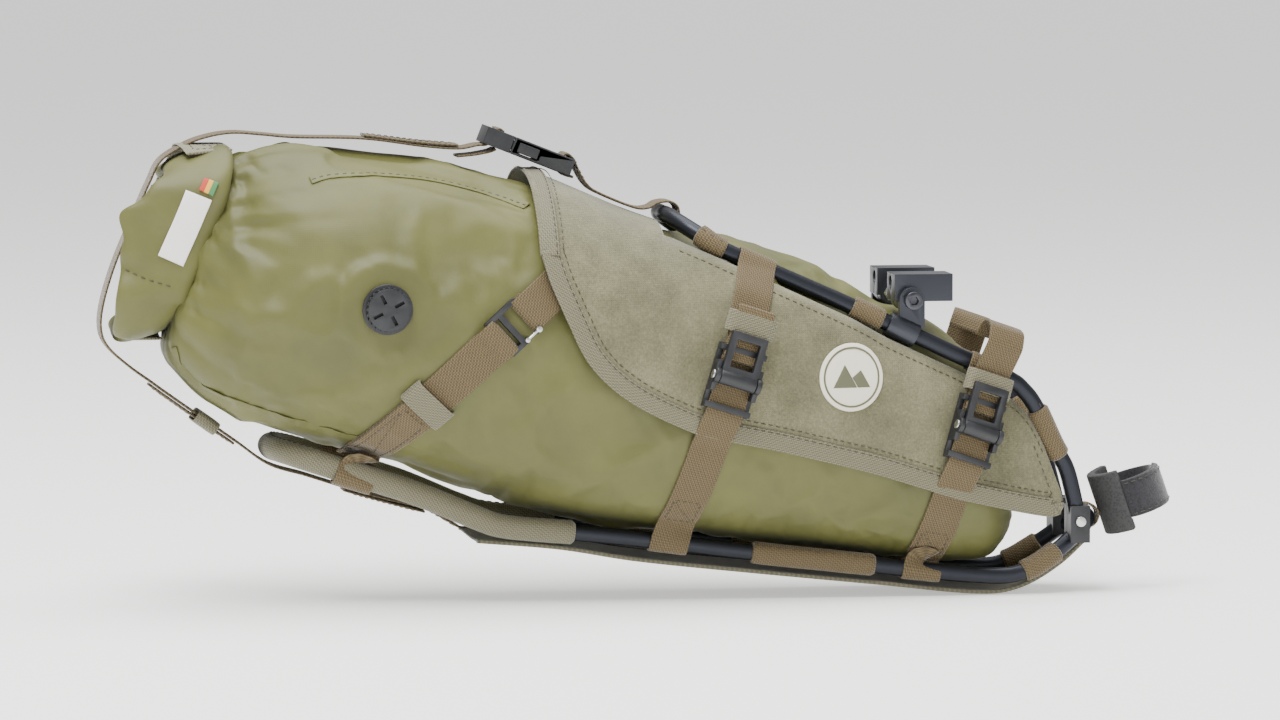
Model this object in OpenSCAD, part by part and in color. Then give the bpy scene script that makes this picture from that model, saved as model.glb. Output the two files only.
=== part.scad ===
// Bicycle saddle bag: a tube harness hung from the saddle rails and the seatpost, holding a
// roll-top dry bag under a canvas hood. +X points forward, +Y to the bicycle's left, +Z up.
// The origin is the middle of the seatpost strap, on the seatpost's axis.

/* [Seatpost] */
// Radius of the seatpost that the strap closes round
post_r = 13.6; // [12.5:0.1:16]
// Backward lean of the seatpost from vertical, degrees
post_lean = 19; // [15:1:22]
// Width of the seatpost strap, which is also its webbing width
post_strap_w = 20; // [16:1:24]
// Height of the foam pad behind the seatpost
pad_h = 32; // [26:1:36]

/* [Tubes] */
// Radius of both bent tubes
tube_r = 4.25; // [3.5:0.05:4.5]
// Half the spacing of the two upper rails
rail_y = 38; // [36:1:40]
// Wall of the webbing wraps and of the ribbed sleeve on the tubes
wrap_t = 1.6; // [1:0.1:2]

/* [Saddle rail clamps] */
// Radius of the saddle rails
saddle_rail_r = 3.5; // [3.4:0.1:3.8]
// Half the spacing of the saddle rails
saddle_rail_y = 22; // [20:0.5:24]
// Length of the jaws along the rail
jaw_len = 30; // [24:1:34]
// Radius of the clamp bolts
bolt_r = 2.5; // [2:0.1:2.5]

/* [Fabric] */
// Thickness of the canvas
canvas_t = 1.5; // [1:0.1:2]
// Thickness of the webbing
web_t = 1.4; // [1:0.1:1.8]
// Width of the webbing straps
web_w = 20; // [16:1:22]
// Fullness of the dry bag's section: 2 is an ellipse, more is boxier
fullness = 2.5; // [2.2:0.1:3]

/* [Buckles] */
// Width of the cam buckles
cam_w = 25; // [24:1:28]
// Radius of the cam buckles' steel pins
pin_r = 1.5; // [1.3:0.1:1.6]
// Length of the side-release buckles
clip_len = 48; // [46:1:52]
// Width of the side-release buckles
clip_w = 26; // [25:1:30]
// Thickness of the side-release buckles
clip_t = 9; // [8:0.5:10]

/* [Air valve] */
// Radius of the valve's flange
valve_r = 12.7; // [11:0.1:14]

/* [Hidden] */
$fn = 48;

// Clearances: between neighbours that only lie together, in a running fit, and for cutting
gap = 0.3;
fit = 0.06;
eps = 0.01;

// Side views as [x, z]: the bag's top and bottom lines and its half width, from rear to front
TOP_LINE = [[-350, 171], [-324, 165], [-300, 157], [-270, 146], [-245, 138], [-208, 133],
    [-171, 119], [-141, 103], [-106, 87], [-93, 80], [-72, 70], [-40, 40]];
BOTTOM_LINE = [[-350, 11], [-324, 2], [-300, -5], [-261, -12], [-208, -18], [-171, -23],
    [-141, -27], [-106, -32], [-72, -34], [-40, -28]];
WIDTH_LINE = [[-350, 77], [-324, 76], [-261, 70], [-208, 63], [-171, 57], [-141, 51], [-106, 44],
    [-93, 41], [-72, 36], [-57, 32], [-40, 26]];
// How far the canvas stands off the bag
PROUD_LINE = [[-320, 7], [-282, 5], [-245, 3], [-100, 2.5]];
// The canvas panel's lower and upper edges
LOW_EDGE = [[-319, 132], [-310, 106], [-306, 97], [-295, 76], [-275, 58], [-243, 42], [-221, 36],
    [-193, 30], [-150, 19], [-118, 9], [-95, 2], [-48, -8], [-43, -2]];
HIGH_EDGE = [[-319, 160], [-280, 148], [-245, 135], [-224, 126], [-156, 95], [-136, 84],
    [-99, 67], [-73, 54], [-62, 44], [-54, 29], [-48, 14], [-43, 2]];
PANEL_X = [-319, -310, -300, -288, -275, -260, -245, -224, -205, -185, -165, -145, -125, -105, -88,
    -73, -62, -54, -48, -43];
// The dry bag's ends lean, so its sections are [top x, top z, bottom x, bottom z, half width]
REAR_SECTIONS = [[-474, 163, -503, 100, 20], [-468, 172, -505, 88, 32], [-462, 178, -499, 72, 46],
    [-449, 182, -480, 54, 61], [-428, 184, -450, 41, 72], [-400, 182, -402, 28, 77]];
FRONT_SECTIONS = [[-92, 78, -84, -33, 38], [-91, 73, -72, -28, 31], [-88, 62, -64, -15, 20]];
BAG_X = [-350, -324, -300, -270, -245, -226, -208, -190, -171, -156, -141, -124, -106];
RING_STEPS = 32;

// Tube centrelines for the right half as [x, z, half spacing], from front to rear
LOWER_HALF = [[-24, -11, 0], [-26, -13, 11], [-32, -18, 18], [-41, -25, 22], [-50, -31, 24],
    [-59, -36, 25], [-70, -39, 26], [-92, -38, 27], [-135, -33, 29], [-208, -24, 32],
    [-251, -18, 34], [-292, -13, 36], [-331, -9, 37], [-347, -4, 38], [-373, 7, 39], [-399, 16, 39],
    [-424, 24, 37], [-437, 28, 30], [-445, 30, 18], [-447, 30, 0]];
UPPER_HALF = [[-34, -7, 25], [-36, 2, 26], [-40, 16, 27], [-47, 28, 29], [-57, 48, 32],
    [-64, 57, 34], [-72, 63, 35], [-98, 75, 37], [-117, 84, rail_y], [-156, 102, rail_y],
    [-174, 110, rail_y], [-219, 130, rail_y], [-232, 138, rail_y - 3], [-241, 144, rail_y - 12],
    [-245, 147, rail_y - 24], [-245, 147, 0]];
TUBE_STEPS = 14;

// The compression strap's run in the middle plane as [x, z], and its anchor in front
COMPRESSION_RUN = [[-351, -12], [-369, -2], [-391, 4], [-410, 9.5], [-430, 16], [-449, 22],
    [-466, 34], [-497, 56], [-508, 64], [-519, 72], [-530, 82], [-534, 91], [-533, 104],
    [-527, 124], [-517, 148], [-509, 166], [-503, 177], [-490, 185], [-478, 189], [-466, 190.5],
    [-452, 189.5], [-435, 188], [-400, 187], [-370, 183], [-350, 181.6], [-337, 181.6]];
ANCHOR_RUN = [[-291, 170.5], [-286, 163], [-280, 158.5], [-262, 151], [-254, 150.5], [-249, 153],
    [-243, 153.5], [-239, 151], [-238, 146]];
BASE_RUN = [[-25, -21, 10], [-44, -36, 18], [-65, -46, 24], [-88, -48, 26], [-141, -42, 29],
    [-204, -35, 32], [-263, -28, 34], [-304, -21, 36], [-347, -17, 36]];

// Cam straps as [top x, top z, bottom x, bottom z, buckle centre as a share of the way down]
REAR_CAM = [-204, 123, -248, -18, 0.40];
FRONT_CAM = [-84, 69, -116, -35, 0.31];
// Diagonal strap ends as [x, z], and the hook buckle's centre between them
DIAGONAL_LOW = [-412, 24];
DIAGONAL_HIGH = [-316, 112];
HOOK_X = -333;
VALVE_AT = [-397, 105];
EMBLEM_AT = [-158, 66];

// Saddle clamp: where its sleeve sits on the rail tube, the bolt's axis and the saddle rail
SLEEVE_AT = [-128, -rail_y, 89];
RAIL_SLOPE = atan2(102 - 84, -156 + 117);
SLEEVE_R = tube_r + 2;
SLEEVE_LEN = 16;
BOLT_X = -123;
BOLT_Z = 104;
SADDLE_Z = 112;
EAR_T = 5;
EAR_R = 6.5;
JAW_REAR = 8;

FABRIC = [0.56, 0.55, 0.40];
CANVAS = [0.58, 0.57, 0.48];
BROWN = [0.50, 0.40, 0.28];
BLACK = [0.18, 0.19, 0.21];
STEEL = [0.75, 0.75, 0.76];

function unit(v) = v / norm(v);
function blend(a, b, t) = a + (b - a) * t;
function power(v, p) = sign(v) * pow(abs(v), p);
function mid_z(x) = (lookup(x, TOP_LINE) + lookup(x, BOTTOM_LINE)) / 2;
function half_h(x) = (lookup(x, TOP_LINE) - lookup(x, BOTTOM_LINE)) / 2;
// Half width of the bag's skin, grown by off, at height z of section x
function skin_y(x, z, off) =
    (lookup(x, WIDTH_LINE) + off)
    * pow(1 - pow(min(1, abs(z - mid_z(x)) / (half_h(x) + off)), fullness), 1 / fullness);
// Height of the grown skin over half width y
function skin_z(x, y, off) =
    mid_z(x) + (half_h(x) + off)
    * pow(1 - pow(min(1, abs(y) / (lookup(x, WIDTH_LINE) + off)), fullness), 1 / fullness);
function proud(x) = lookup(x, PROUD_LINE);

// A point on the right side of the rear of the bag, whose sections lean
function rear_y(x, z, off) =
    x > -350 ? skin_y(x, z, off)
    : let (w = lookup(x, [[-480, 62], [-450, 71], [-400, 77], [-350, 77]]),
           top = lookup(x, [[-450, 183], [-400, 182], [-350, 171]]),
           low = lookup(x, [[-450, 41], [-402, 28], [-350, 11]]))
      (w + off) * pow(1 - pow(min(1, abs(z - (top + low) / 2) / ((top - low) / 2 + off)),
                              fullness), 1 / fullness);

// A closed skin over rings of points; each ring runs anticlockwise about the way the rings go
module loft(rings, closed = false) {
    n = len(rings);
    m = len(rings[0]);
    last = closed ? n - 1 : n - 2;
    walls = [for (i = [0:last], j = [0:m - 1])
        let (a = i * m + j, b = i * m + (j + 1) % m,
             c = ((i + 1) % n) * m + (j + 1) % m, d = ((i + 1) % n) * m + j)
        each [[a, d, c], [a, c, b]]];
    ends = closed ? [] : [[for (j = [0:m - 1]) j], [for (j = [m - 1:-1:0]) (n - 1) * m + j]];
    polyhedron([for (ring = rings) each ring], concat(walls, ends), convexity = 8);
}

// A profile carried along a path, its first axis held as near to side as the path lets it.
// side is one direction, or a list with one for each point.
module sweep(path, profile, side, closed = false) {
    n = len(path);
    loft([for (i = [0:n - 1])
        let (next = closed ? (i + 1) % n : min(i + 1, n - 1),
             before = closed ? (i + n - 1) % n : max(i - 1, 0),
             t = unit(path[next] - path[before]),
             s = is_list(side[0]) ? side[i] : side,
             w = unit(s - t * (s * t)),
             u = cross(t, w))
        [for (p = profile) path[i] + p.x * w + p.y * u]], closed);
}

function ring_profile(r, steps) = [for (i = [0:steps - 1]) r * [cos(360 * i / steps), sin(360 * i / steps)]];
function flat_profile(w, t) = [[-w / 2, -t / 2], [w / 2, -t / 2], [w / 2, t / 2], [-w / 2, t / 2]];
function right_half(half) = [for (p = half) [p[0], -p[2], p[1]]];
function reversed(list) = [for (i = [len(list) - 1:-1:0]) list[i]];
function left_of(path) = [for (p = path) [p.x, -p.y, p.z]];
function tail_of(list, first) = [for (i = [first:len(list) - 1]) list[i]];

UPPER_PATH = concat(right_half(UPPER_HALF),
    tail_of(reversed(left_of(right_half(UPPER_HALF))), 1));
LOWER_LOOP = concat(right_half(LOWER_HALF),
    [for (i = [len(LOWER_HALF) - 2:-1:1]) [LOWER_HALF[i][0], LOWER_HALF[i][2], LOWER_HALF[i][1]]]);

module left_side() mirror([0, 1, 0]) children();
module both_sides() {
    children();
    left_side() children();
}

// Children drawn with X along d, Z along n and their origin at o
module on_frame(o, d, n) {
    z = unit(n);
    x = unit(d - z * (d * z));
    y = cross(z, x);
    multmatrix([[x.x, y.x, z.x, o.x], [x.y, y.y, z.y, o.y], [x.z, y.z, z.z, o.z], [0, 0, 0, 1]])
        children();
}

module upper_run(r) sweep(UPPER_PATH, ring_profile(r, TUBE_STEPS), [1, 0, 1]);
module lower_run(r) sweep(LOWER_LOOP, ring_profile(r, TUBE_STEPS), [0, 0, 1], true);
module upper_tube() color(BLACK) upper_run(tube_r);
module lower_tube() color(BLACK) lower_run(tube_r);

// Blocks that hold the upper tube's front ends to the lower tube
BRACKET_AT = [-33, -22.5, -13];
module joint_brackets() color(BLACK) difference() {
    both_sides() translate(BRACKET_AT) cube([10, 17, 19], center = true);
    upper_run(tube_r + 0.05);
    lower_run(tube_r + 0.05);
    both_sides() joint_screw(0.1);
}
module joint_screw(grow) translate([BRACKET_AT.x, BRACKET_AT.y - 8.5, BRACKET_AT.z + 1.5]) rotate([90, 0, 0]) {
    cylinder(r = 2.6 + grow, h = 1.6);
    translate([0, 0, -3]) cylinder(r = 1.2 + grow, h = 3 + eps);
}
module joint_screws() color(STEEL) both_sides() joint_screw(0);

// A hollow sleeve on a stretch of tube: an outer and an inner skin joined by flat rims
module tube_cover(path, side) {
    n = len(path);
    m = TUBE_STEPS;
    skins = [for (r = [tube_r + wrap_t, tube_r + 0.12], i = [0:n - 1])
        let (t = unit(path[min(i + 1, n - 1)] - path[max(i - 1, 0)]),
             w = unit(side - t * (side * t)), u = cross(t, w))
        each [for (p = ring_profile(r, m)) path[i] + p.x * w + p.y * u]];
    outer = [for (i = [0:n - 2], j = [0:m - 1]) let (k = (j + 1) % m)
        each [[i * m + j, (i + 1) * m + j, (i + 1) * m + k], [i * m + j, (i + 1) * m + k, i * m + k]]];
    inner = [for (f = outer) [f[0] + n * m, f[2] + n * m, f[1] + n * m]];
    rims = [for (j = [0:m - 1]) let (k = (j + 1) % m, e = (n - 1) * m, q = n * m)
        each [[j, k, q + k], [j, q + k, q + j],
            [e + j, q + e + k, e + k], [e + j, q + e + j, q + e + k]]];
    polyhedron(skins, concat(outer, inner, rims), convexity = 8);
}
function along(a, b, s, e) = [blend(a, b, s), blend(a, b, e)];
module tube_wraps() color(BROWN) both_sides() {
    upper = right_half(UPPER_HALF);
    lower = right_half(LOWER_HALF);
    tube_cover(along(upper[11], upper[12], 0.05, 1), [1, 0, 1]);
    tube_cover(along(upper[8], upper[9], 0.55, 0.95), [1, 0, 1]);
    tube_cover([blend(upper[3], upper[4], 0.95), upper[3], blend(upper[2], upper[3], 0.5)], [1, 0, 1]);
    tube_cover(along(lower[8], lower[9], 0.08, 0.96), [0, 0, 1]);
}
module tube_sleeve() color(CANVAS) {
    right = [for (i = [11:19]) right_half(LOWER_HALF)[i]];
    tube_cover(concat(right, tail_of(reversed(left_of(right)), 1)), [0, 0, 1]);
}

// Saddle clamp: a sleeve on the tube with an ear, and two jaws held to the ear by one bolt
module bolt_axis() translate([BOLT_X, 0, BOLT_Z]) rotate([90, 0, 0]) children();
module tube_clamp() color(BLACK) difference() {
    union() {
        translate(SLEEVE_AT) rotate([0, 90 - RAIL_SLOPE, 0])
            cylinder(r = SLEEVE_R, h = SLEEVE_LEN, center = true);
        translate([BOLT_X - EAR_R, -rail_y - EAR_T / 2, 90]) cube([2 * EAR_R, EAR_T, BOLT_Z - 90]);
        translate([0, -rail_y + EAR_T / 2, 0]) bolt_axis() cylinder(r = EAR_R, h = EAR_T);
    }
    translate(SLEEVE_AT) rotate([0, 90 - RAIL_SLOPE, 0])
        cylinder(r = tube_r + 0.08, h = 40, center = true);
    bolt_axis() cylinder(r = bolt_r + fit, h = 80);
}
module jaw(y_out, y_in) difference() {
    union() {
        translate([BOLT_X - JAW_REAR, y_out, BOLT_Z - 1])
            cube([jaw_len, y_in - y_out, SADDLE_Z - BOLT_Z + 6]);
        translate([0, y_in, 0]) bolt_axis() cylinder(r = EAR_R, h = y_in - y_out);
    }
    translate([BOLT_X - jaw_len, -saddle_rail_y, SADDLE_Z]) rotate([0, 90, 0])
        cylinder(r = saddle_rail_r, h = 3 * jaw_len);
    bolt_axis() cylinder(r = bolt_r + fit, h = 80);
}
JAW_OUT = -rail_y + EAR_T / 2 + gap;
JAW_IN = -saddle_rail_y + 8.5;
module outer_jaw() color(BLACK) jaw(JAW_OUT, -saddle_rail_y - 0.3);
module inner_jaw() color(BLACK) difference() {
    jaw(-saddle_rail_y + 0.3, JAW_IN);
    translate([0, JAW_IN + eps, 0]) bolt_axis() cylinder(r = 4.7, h = 4, $fn = 6);
}
module clamp_nut() color(STEEL) difference() {
    translate([0, JAW_IN, 0]) bolt_axis() cylinder(r = 4.6, h = 3.9, $fn = 6);
    bolt_axis() cylinder(r = bolt_r + fit, h = 80);
}
module clamp_bolt() color(BLACK) difference() {
    union() {
        translate([0, JAW_IN + 1, 0]) bolt_axis() cylinder(r = bolt_r, h = rail_y + EAR_T / 2 + JAW_IN + 2);
        translate([0, -rail_y - EAR_T / 2 - gap, 0]) bolt_axis() cylinder(r = 4.6, h = 5);
    }
    translate([0, -rail_y - EAR_T / 2 - 2.8, 0]) bolt_axis() cylinder(r = 2.3, h = 5, $fn = 6);
}

// Seatpost end: a foam pad, a hook-and-loop strap and the loop that ties them to the tube
module on_post() rotate([0, -post_lean, 0]) children();
module arc_band(r_in, r_out, h, from, sweep_deg) rotate([0, 0, from])
    rotate_extrude(angle = sweep_deg) translate([r_in, -h / 2]) square([r_out - r_in, h]);
STRAP_T = 2.2;
module seatpost_pad() color([0.22, 0.22, 0.22]) on_post() difference() {
    arc_band(post_r + 0.6, post_r + 5.4, pad_h, 112, 136);
    cylinder(r = post_r + STRAP_T + gap, h = post_strap_w + 2 * gap, center = true);
}
module seatpost_strap() color([0.13, 0.13, 0.14]) on_post() {
    difference() {
        cylinder(r = post_r + STRAP_T, h = post_strap_w, center = true);
        cylinder(r = post_r, h = 2 * post_strap_w, center = true);
    }
    arc_band(post_r + STRAP_T - eps, post_r + 2 * STRAP_T, post_strap_w - 1, -98, 150);
}
module front_webbing_loop() color(BROWN) translate([-24, 0, -11]) rotate([90, 0, 0]) difference() {
    cylinder(r = tube_r + 2.4, h = 10, center = true);
    cylinder(r = tube_r + 1.2, h = 20, center = true);
}

// The dry bag: leaning rings at both ends and upright ones between
function leaning_ring(s) = [for (k = [0:RING_STEPS - 1])
    let (a = 360 * k / RING_STEPS, h = power(sin(a), 2 / fullness))
    [blend(s[2], s[0], (h + 1) / 2), s[4] * power(cos(a), 2 / fullness), blend(s[3], s[1], (h + 1) / 2)]];
function upright(x) = [x, lookup(x, TOP_LINE), x, lookup(x, BOTTOM_LINE), lookup(x, WIDTH_LINE)];
// The soft bag is dented where the upper tube, its clamps and the roll press into it
module drybag() color(FABRIC) difference() {
    loft([for (s = concat(REAR_SECTIONS, [for (x = BAG_X) upright(x)], FRONT_SECTIONS))
        leaning_ring(s)]);
    upper_run(tube_r + wrap_t + 0.5);
    both_sides() translate(SLEEVE_AT) rotate([0, 90 - RAIL_SLOPE, 0])
        cylinder(r = SLEEVE_R + gap, h = SLEEVE_LEN + 2 * gap, center = true, $fn = 24);
    roll(0.4);
}

// Canvas panels: a thin skin that stands a little off the bag
PANEL_STEPS = 9;
function panel_ring(x, low, high, off, t) = concat(
    [for (k = [0:PANEL_STEPS]) let (z = blend(low, high, k / PANEL_STEPS)) [x, -skin_y(x, z, off), z]],
    [for (k = [PANEL_STEPS:-1:0]) let (z = blend(low, high, k / PANEL_STEPS)) [x, -skin_y(x, z, off) - t, z]]);
module side_panel() color(CANVAS)
    loft([for (x = PANEL_X) panel_ring(x, lookup(x, LOW_EDGE), lookup(x, HIGH_EDGE), proud(x), canvas_t)]);
HOOD_STEPS = 16;
HOOD_END_X = -251;
function hood_run(x, off) = let (y = skin_y(x, lookup(x, HIGH_EDGE) + gap, off))
    [for (k = [0:HOOD_STEPS]) let (v = blend(-y, y, k / HOOD_STEPS)) [x, v, skin_z(x, v, off)]];
function hood_ring(x) = concat(hood_run(x, proud(x)), reversed(hood_run(x, proud(x) + canvas_t)));
module hood_top() color(CANVAS)
    loft([for (x = [for (p = PANEL_X) if (p < HOOD_END_X) p, HOOD_END_X]) hood_ring(x)]);

// Ribbed tape folded over the panels' lower and rear edges, on their outer face
BINDING_W = 10;
function binding_ring(x) = let (low = lookup(x, LOW_EDGE), high = min(low + BINDING_W, lookup(x, HIGH_EDGE)),
        off = proud(x) + canvas_t + 0.1) concat(
    [for (k = [0:2]) let (z = blend(low, high, k / 2)) [x, -skin_y(x, z, off), z]],
    [for (k = [2:-1:0]) let (z = blend(low, high, k / 2)) [x, -skin_y(x, z, off) - 0.9, z]]);
module edge_binding() color([0.50, 0.49, 0.42]) both_sides()
    loft([for (x = PANEL_X) if (x > -300 && x < -50) binding_ring(x)]);

module base_sheet() color(CANVAS) loft([for (i = [0:len(BASE_RUN) - 1]) let (p = BASE_RUN[i],
    run = [for (k = [-1, 1]) [p[0], p[2] * k, p[1]]])
    concat([for (q = reversed(run)) q + [0, 0, canvas_t]], run)]);

// The rolled mouth: a flat roll down the near side whose two ends turn away from it
ROLL_Y = 36;
ROLL_T = 11;
ROLL_W = 34;
ROLL_PATH = [[-484, 22, 174], [-484, 8, 177], [-484, -12, 177], [-485, -27, 173], [-489, -ROLL_Y, 162],
    [-498, -ROLL_Y, 141], [-506, -ROLL_Y, 122], [-511, -ROLL_Y, 110], [-513, -28, 99], [-513, -14, 93],
    [-513, 8, 92], [-513, 22, 95]];
module roll(grow) sweep(ROLL_PATH,
    [for (p = ring_profile(1, 16)) [(ROLL_W / 2 + grow) * p.x, (ROLL_T / 2 + grow) * p.y]], [1, 0, 0.3]);
module roll_closure() color(FABRIC) roll(0);
// Buckle on the far side of the roll, upright, with short webbing ends that reach it
ROLL_CLIP_AT = [-499, 38, 135];
ROLL_CLIP_DIR = unit([0.33, 0, 0.944]);
module roll_clip() on_frame(ROLL_CLIP_AT, ROLL_CLIP_DIR, [0, 1, 0]) children();
function roll_clip_point(s) = ROLL_CLIP_AT + ROLL_CLIP_DIR * s;
module roll_webbing() color(CANVAS) {
    sweep([[-484, 23.4, 174.3], [-484, 30, 173], [-486, 35.5, 169], roll_clip_point(clip_len / 2 + 1.2)],
        flat_profile(web_w, web_t), [1, 0, 0]);
    sweep([roll_clip_point(-clip_len / 2 - 1.2), [-509, 36, 105], [-512, 31, 99], [-513, 23.4, 95.2]],
        flat_profile(web_w, web_t), [1, 0, 0]);
}

// Side-release buckle: X runs to the plug's tail, Z out of its flat face
CLIP_SPLIT = 9;
WALL = 1.6;
PRONG_X = CLIP_SPLIT;
PRONG_Y = clip_w / 2 - 4.6;
module clip_socket() color(BLACK) difference() {
    translate([-clip_len / 2, -clip_w / 2, -clip_t / 2]) cube([clip_len / 2 + CLIP_SPLIT, clip_w, clip_t]);
    translate([-clip_len / 2 + 10, -clip_w / 2 + WALL, -clip_t / 2 + WALL])
        cube([clip_len, clip_w - 2 * WALL, clip_t - 2 * WALL]);
    translate([-6, -clip_w, -clip_t / 2 + WALL]) cube([13, 2 * clip_w, clip_t - 2 * WALL]);
    translate([-clip_len / 2 + 3, -web_w / 2 - 0.5, -clip_t]) cube([4, web_w + 1, 2 * clip_t]);
}
module clip_plug() color(BLACK) {
    difference() {
        translate([CLIP_SPLIT + gap, -clip_w / 2, -clip_t / 2])
            cube([clip_len / 2 - CLIP_SPLIT - gap, clip_w, clip_t]);
        translate([CLIP_SPLIT + 5, -web_w / 2 - 0.5, -clip_t]) cube([2.6, web_w + 1, 2 * clip_t]);
        translate([CLIP_SPLIT + 9.6, -web_w / 2 - 0.5, -clip_t]) cube([2.6, web_w + 1, 2 * clip_t]);
    }
    translate([-10, -2, -clip_t / 2 + WALL + gap]) cube([CLIP_SPLIT + 12, 4, clip_t - 2 * WALL - 2 * gap]);
}
// One sprung arm of the plug with the pad that the fingers press
module clip_prong() color(BLACK) {
    h = clip_t - 2 * WALL - 2 * gap;
    translate([-5, PRONG_Y - 1.3, -h / 2]) cube([PRONG_X + 5, 2.6, h]);
    translate([-5, PRONG_Y, -h / 2]) cube([11, clip_w / 2 - PRONG_Y + 0.6, h]);
}

// Where the top buckle sits, across the top of the bag
TOP_CLIP_AT = [-316, 0, 180];
TOP_CLIP_SLOPE = 21.5;
module top_clip() on_frame(TOP_CLIP_AT, [-cos(TOP_CLIP_SLOPE), 0, sin(TOP_CLIP_SLOPE)],
    [sin(TOP_CLIP_SLOPE), 0, cos(TOP_CLIP_SLOPE)]) children();

// Air valve on the right side
// Outward direction on the right side, from how the half width changes along and up the bag
function out_from(y, along_x, up_z) = unit([y - along_x, -1, y - up_z]);
VALVE_O = [VALVE_AT.x, -rear_y(VALVE_AT.x, VALVE_AT.y, 0.4), VALVE_AT.y];
VALVE_OUT = out_from(rear_y(VALVE_AT.x, VALVE_AT.y, 0), rear_y(VALVE_AT.x + 1, VALVE_AT.y, 0),
    rear_y(VALVE_AT.x, VALVE_AT.y + 1, 0));
module on_valve() on_frame(VALVE_O, [0.3, 0, 0.95], VALVE_OUT) children();
module valve_base() color(BLACK) on_valve() {
    cylinder(r = valve_r, h = 2);
    cylinder(r = 5, h = 4);
}
module valve_cap() color(BLACK) on_valve() translate([0, 0, 2.3]) difference() {
    union() {
        cylinder(r = valve_r - 2.2, h = 5);
        for (i = [0:23]) rotate([0, 0, i * 15]) translate([valve_r - 2.3, 0, 0]) cylinder(r = 0.9, h = 4, $fn = 16);
    }
    translate([0, 0, -eps]) cylinder(r = 5 + fit, h = 2);
    for (i = [0:3]) rotate([0, 0, 45 + i * 90]) translate([6, 0, 4]) cube([5, 1.6, 4], center = true);
}

// Generic disc on the canvas and a plain label on the roll
module patches() {
    x = EMBLEM_AT.x;
    z = EMBLEM_AT.y;
    off = proud(x) + canvas_t;
    out = out_from(skin_y(x, z, off), skin_y(x + 1, z, off), skin_y(x, z + 1, off));
    color([0.85, 0.83, 0.76]) on_frame([x, -skin_y(x, z, off), z], [1, 0, 0], out)
        translate([0, 0, 1]) cylinder(r = 17, h = 1);
    color([0.92, 0.91, 0.88]) on_frame([-494.5, -ROLL_Y - ROLL_T / 2 - 1, 144], [0.4, 0, 0.9], [0, -1, 0])
        translate([-18, -7, -0.4]) cube([36, 14, 0.8]);
}

// Cam straps: webbing from the upper tube, down the outside, to the lower tube
function cam_at(c, s) = [blend(c[0], c[2], s), blend(c[1], c[3], s)];
function cam_point(c, s, off) = let (p = cam_at(c, s)) [p.x, -skin_y(p.x, p.y, off), p.y];
function cam_up(c) = unit(cam_point(c, c[4] - 0.09, 5) - cam_point(c, c[4] + 0.09, 5));
function cam_out(c) = let (p = cam_point(c, c[4], 5), q = p + [8, 0, 0],
        forward = [q.x, -skin_y(q.x, q.z, 5), q.z] - p) unit(cross(forward, cam_up(c)));
function cam_o(c) = cam_point(c, c[4], 0) + cam_out(c) * (proud(cam_at(c, c[4]).x) + canvas_t + 0.8);
CAM_BASE = 2;
CAM_HALF = 17;
WEB_Z = CAM_BASE + 0.25 + web_t / 2;
PIN_Z = 8;
HUB_R = PIN_Z - WEB_Z - web_t / 2 - 0.4;
function cam_web_point(c, s) = cam_o(c) + cam_up(c) * s + cam_out(c) * WEB_Z;
module on_cam(c) on_frame(cam_o(c), cam_up(c), cam_out(c)) children();

// A spot on a tube's right half as [centre, direction], x along its segment from point i
function tube_spot(half, i, x) = let (a = right_half(half)[i], b = right_half(half)[i + 1])
    [blend(a, b, (x - a.x) / (b.x - a.x)), unit(a - b)];
// Arc of a strap round the tube at a spot, from the top (90) to the outside (180) and below (270)
function wrap_arc(spot, r, from, to) = let (d = spot[1], up = unit([-d.z, 0, d.x]))
    [for (a = [from:(to - from) / 5:to]) spot[0] + r * cos(a) * [0, 1, 0] + r * sin(a) * up];
function same(v, n) = [for (i = [1:n]) v];
WRAP_R = tube_r + 0.55 + web_t / 2;
WEB_OFF = 1.7 + canvas_t + web_t / 2;
// The webbing's width direction where it lies on the skin
function cam_side(c, s) = let (p = cam_at(c, s), y = skin_y(p.x, p.y, 4),
        n = out_from(y, skin_y(p.x + 1, p.y, 4), skin_y(p.x, p.y + 1, 4)),
        w = unit([c[3] - c[1], 0, c[0] - c[2]])) unit(w - n * (w * n));
module cam_strap(c, top, low) color(BROWN) {
    over = [for (s = [0.1, 0.18]) if (s < c[4] - 0.2) s];
    under = [for (s = [0.62:0.12:0.9]) s];
    buckle_side = -cross(cam_out(c), cam_up(c));
    sweep(concat(
        wrap_arc(top, WRAP_R, 40, 185),
        [for (s = over) cam_point(c, s, WEB_OFF + proud(cam_at(c, s).x))],
        [cam_web_point(c, CAM_HALF + 3), cam_web_point(c, CAM_HALF), cam_web_point(c, -CAM_HALF),
         cam_web_point(c, -CAM_HALF - 3)],
        [for (s = under) cam_point(c, s, WEB_OFF + proud(cam_at(c, s).x))],
        wrap_arc(low, WRAP_R, 172, 320)),
        flat_profile(web_w, web_t),
        concat(same(top[1], 6), [for (s = over) cam_side(c, s)], same(buckle_side, 4),
            [for (s = under) cam_side(c, s)], same(low[1], 6)));
}
module rear_strap() cam_strap(REAR_CAM, tube_spot(UPPER_HALF, 10, -204), tube_spot(LOWER_HALF, 9, -248));
module front_strap() cam_strap(FRONT_CAM, tube_spot(UPPER_HALF, 7, -84), tube_spot(LOWER_HALF, 7, -116));

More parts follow.
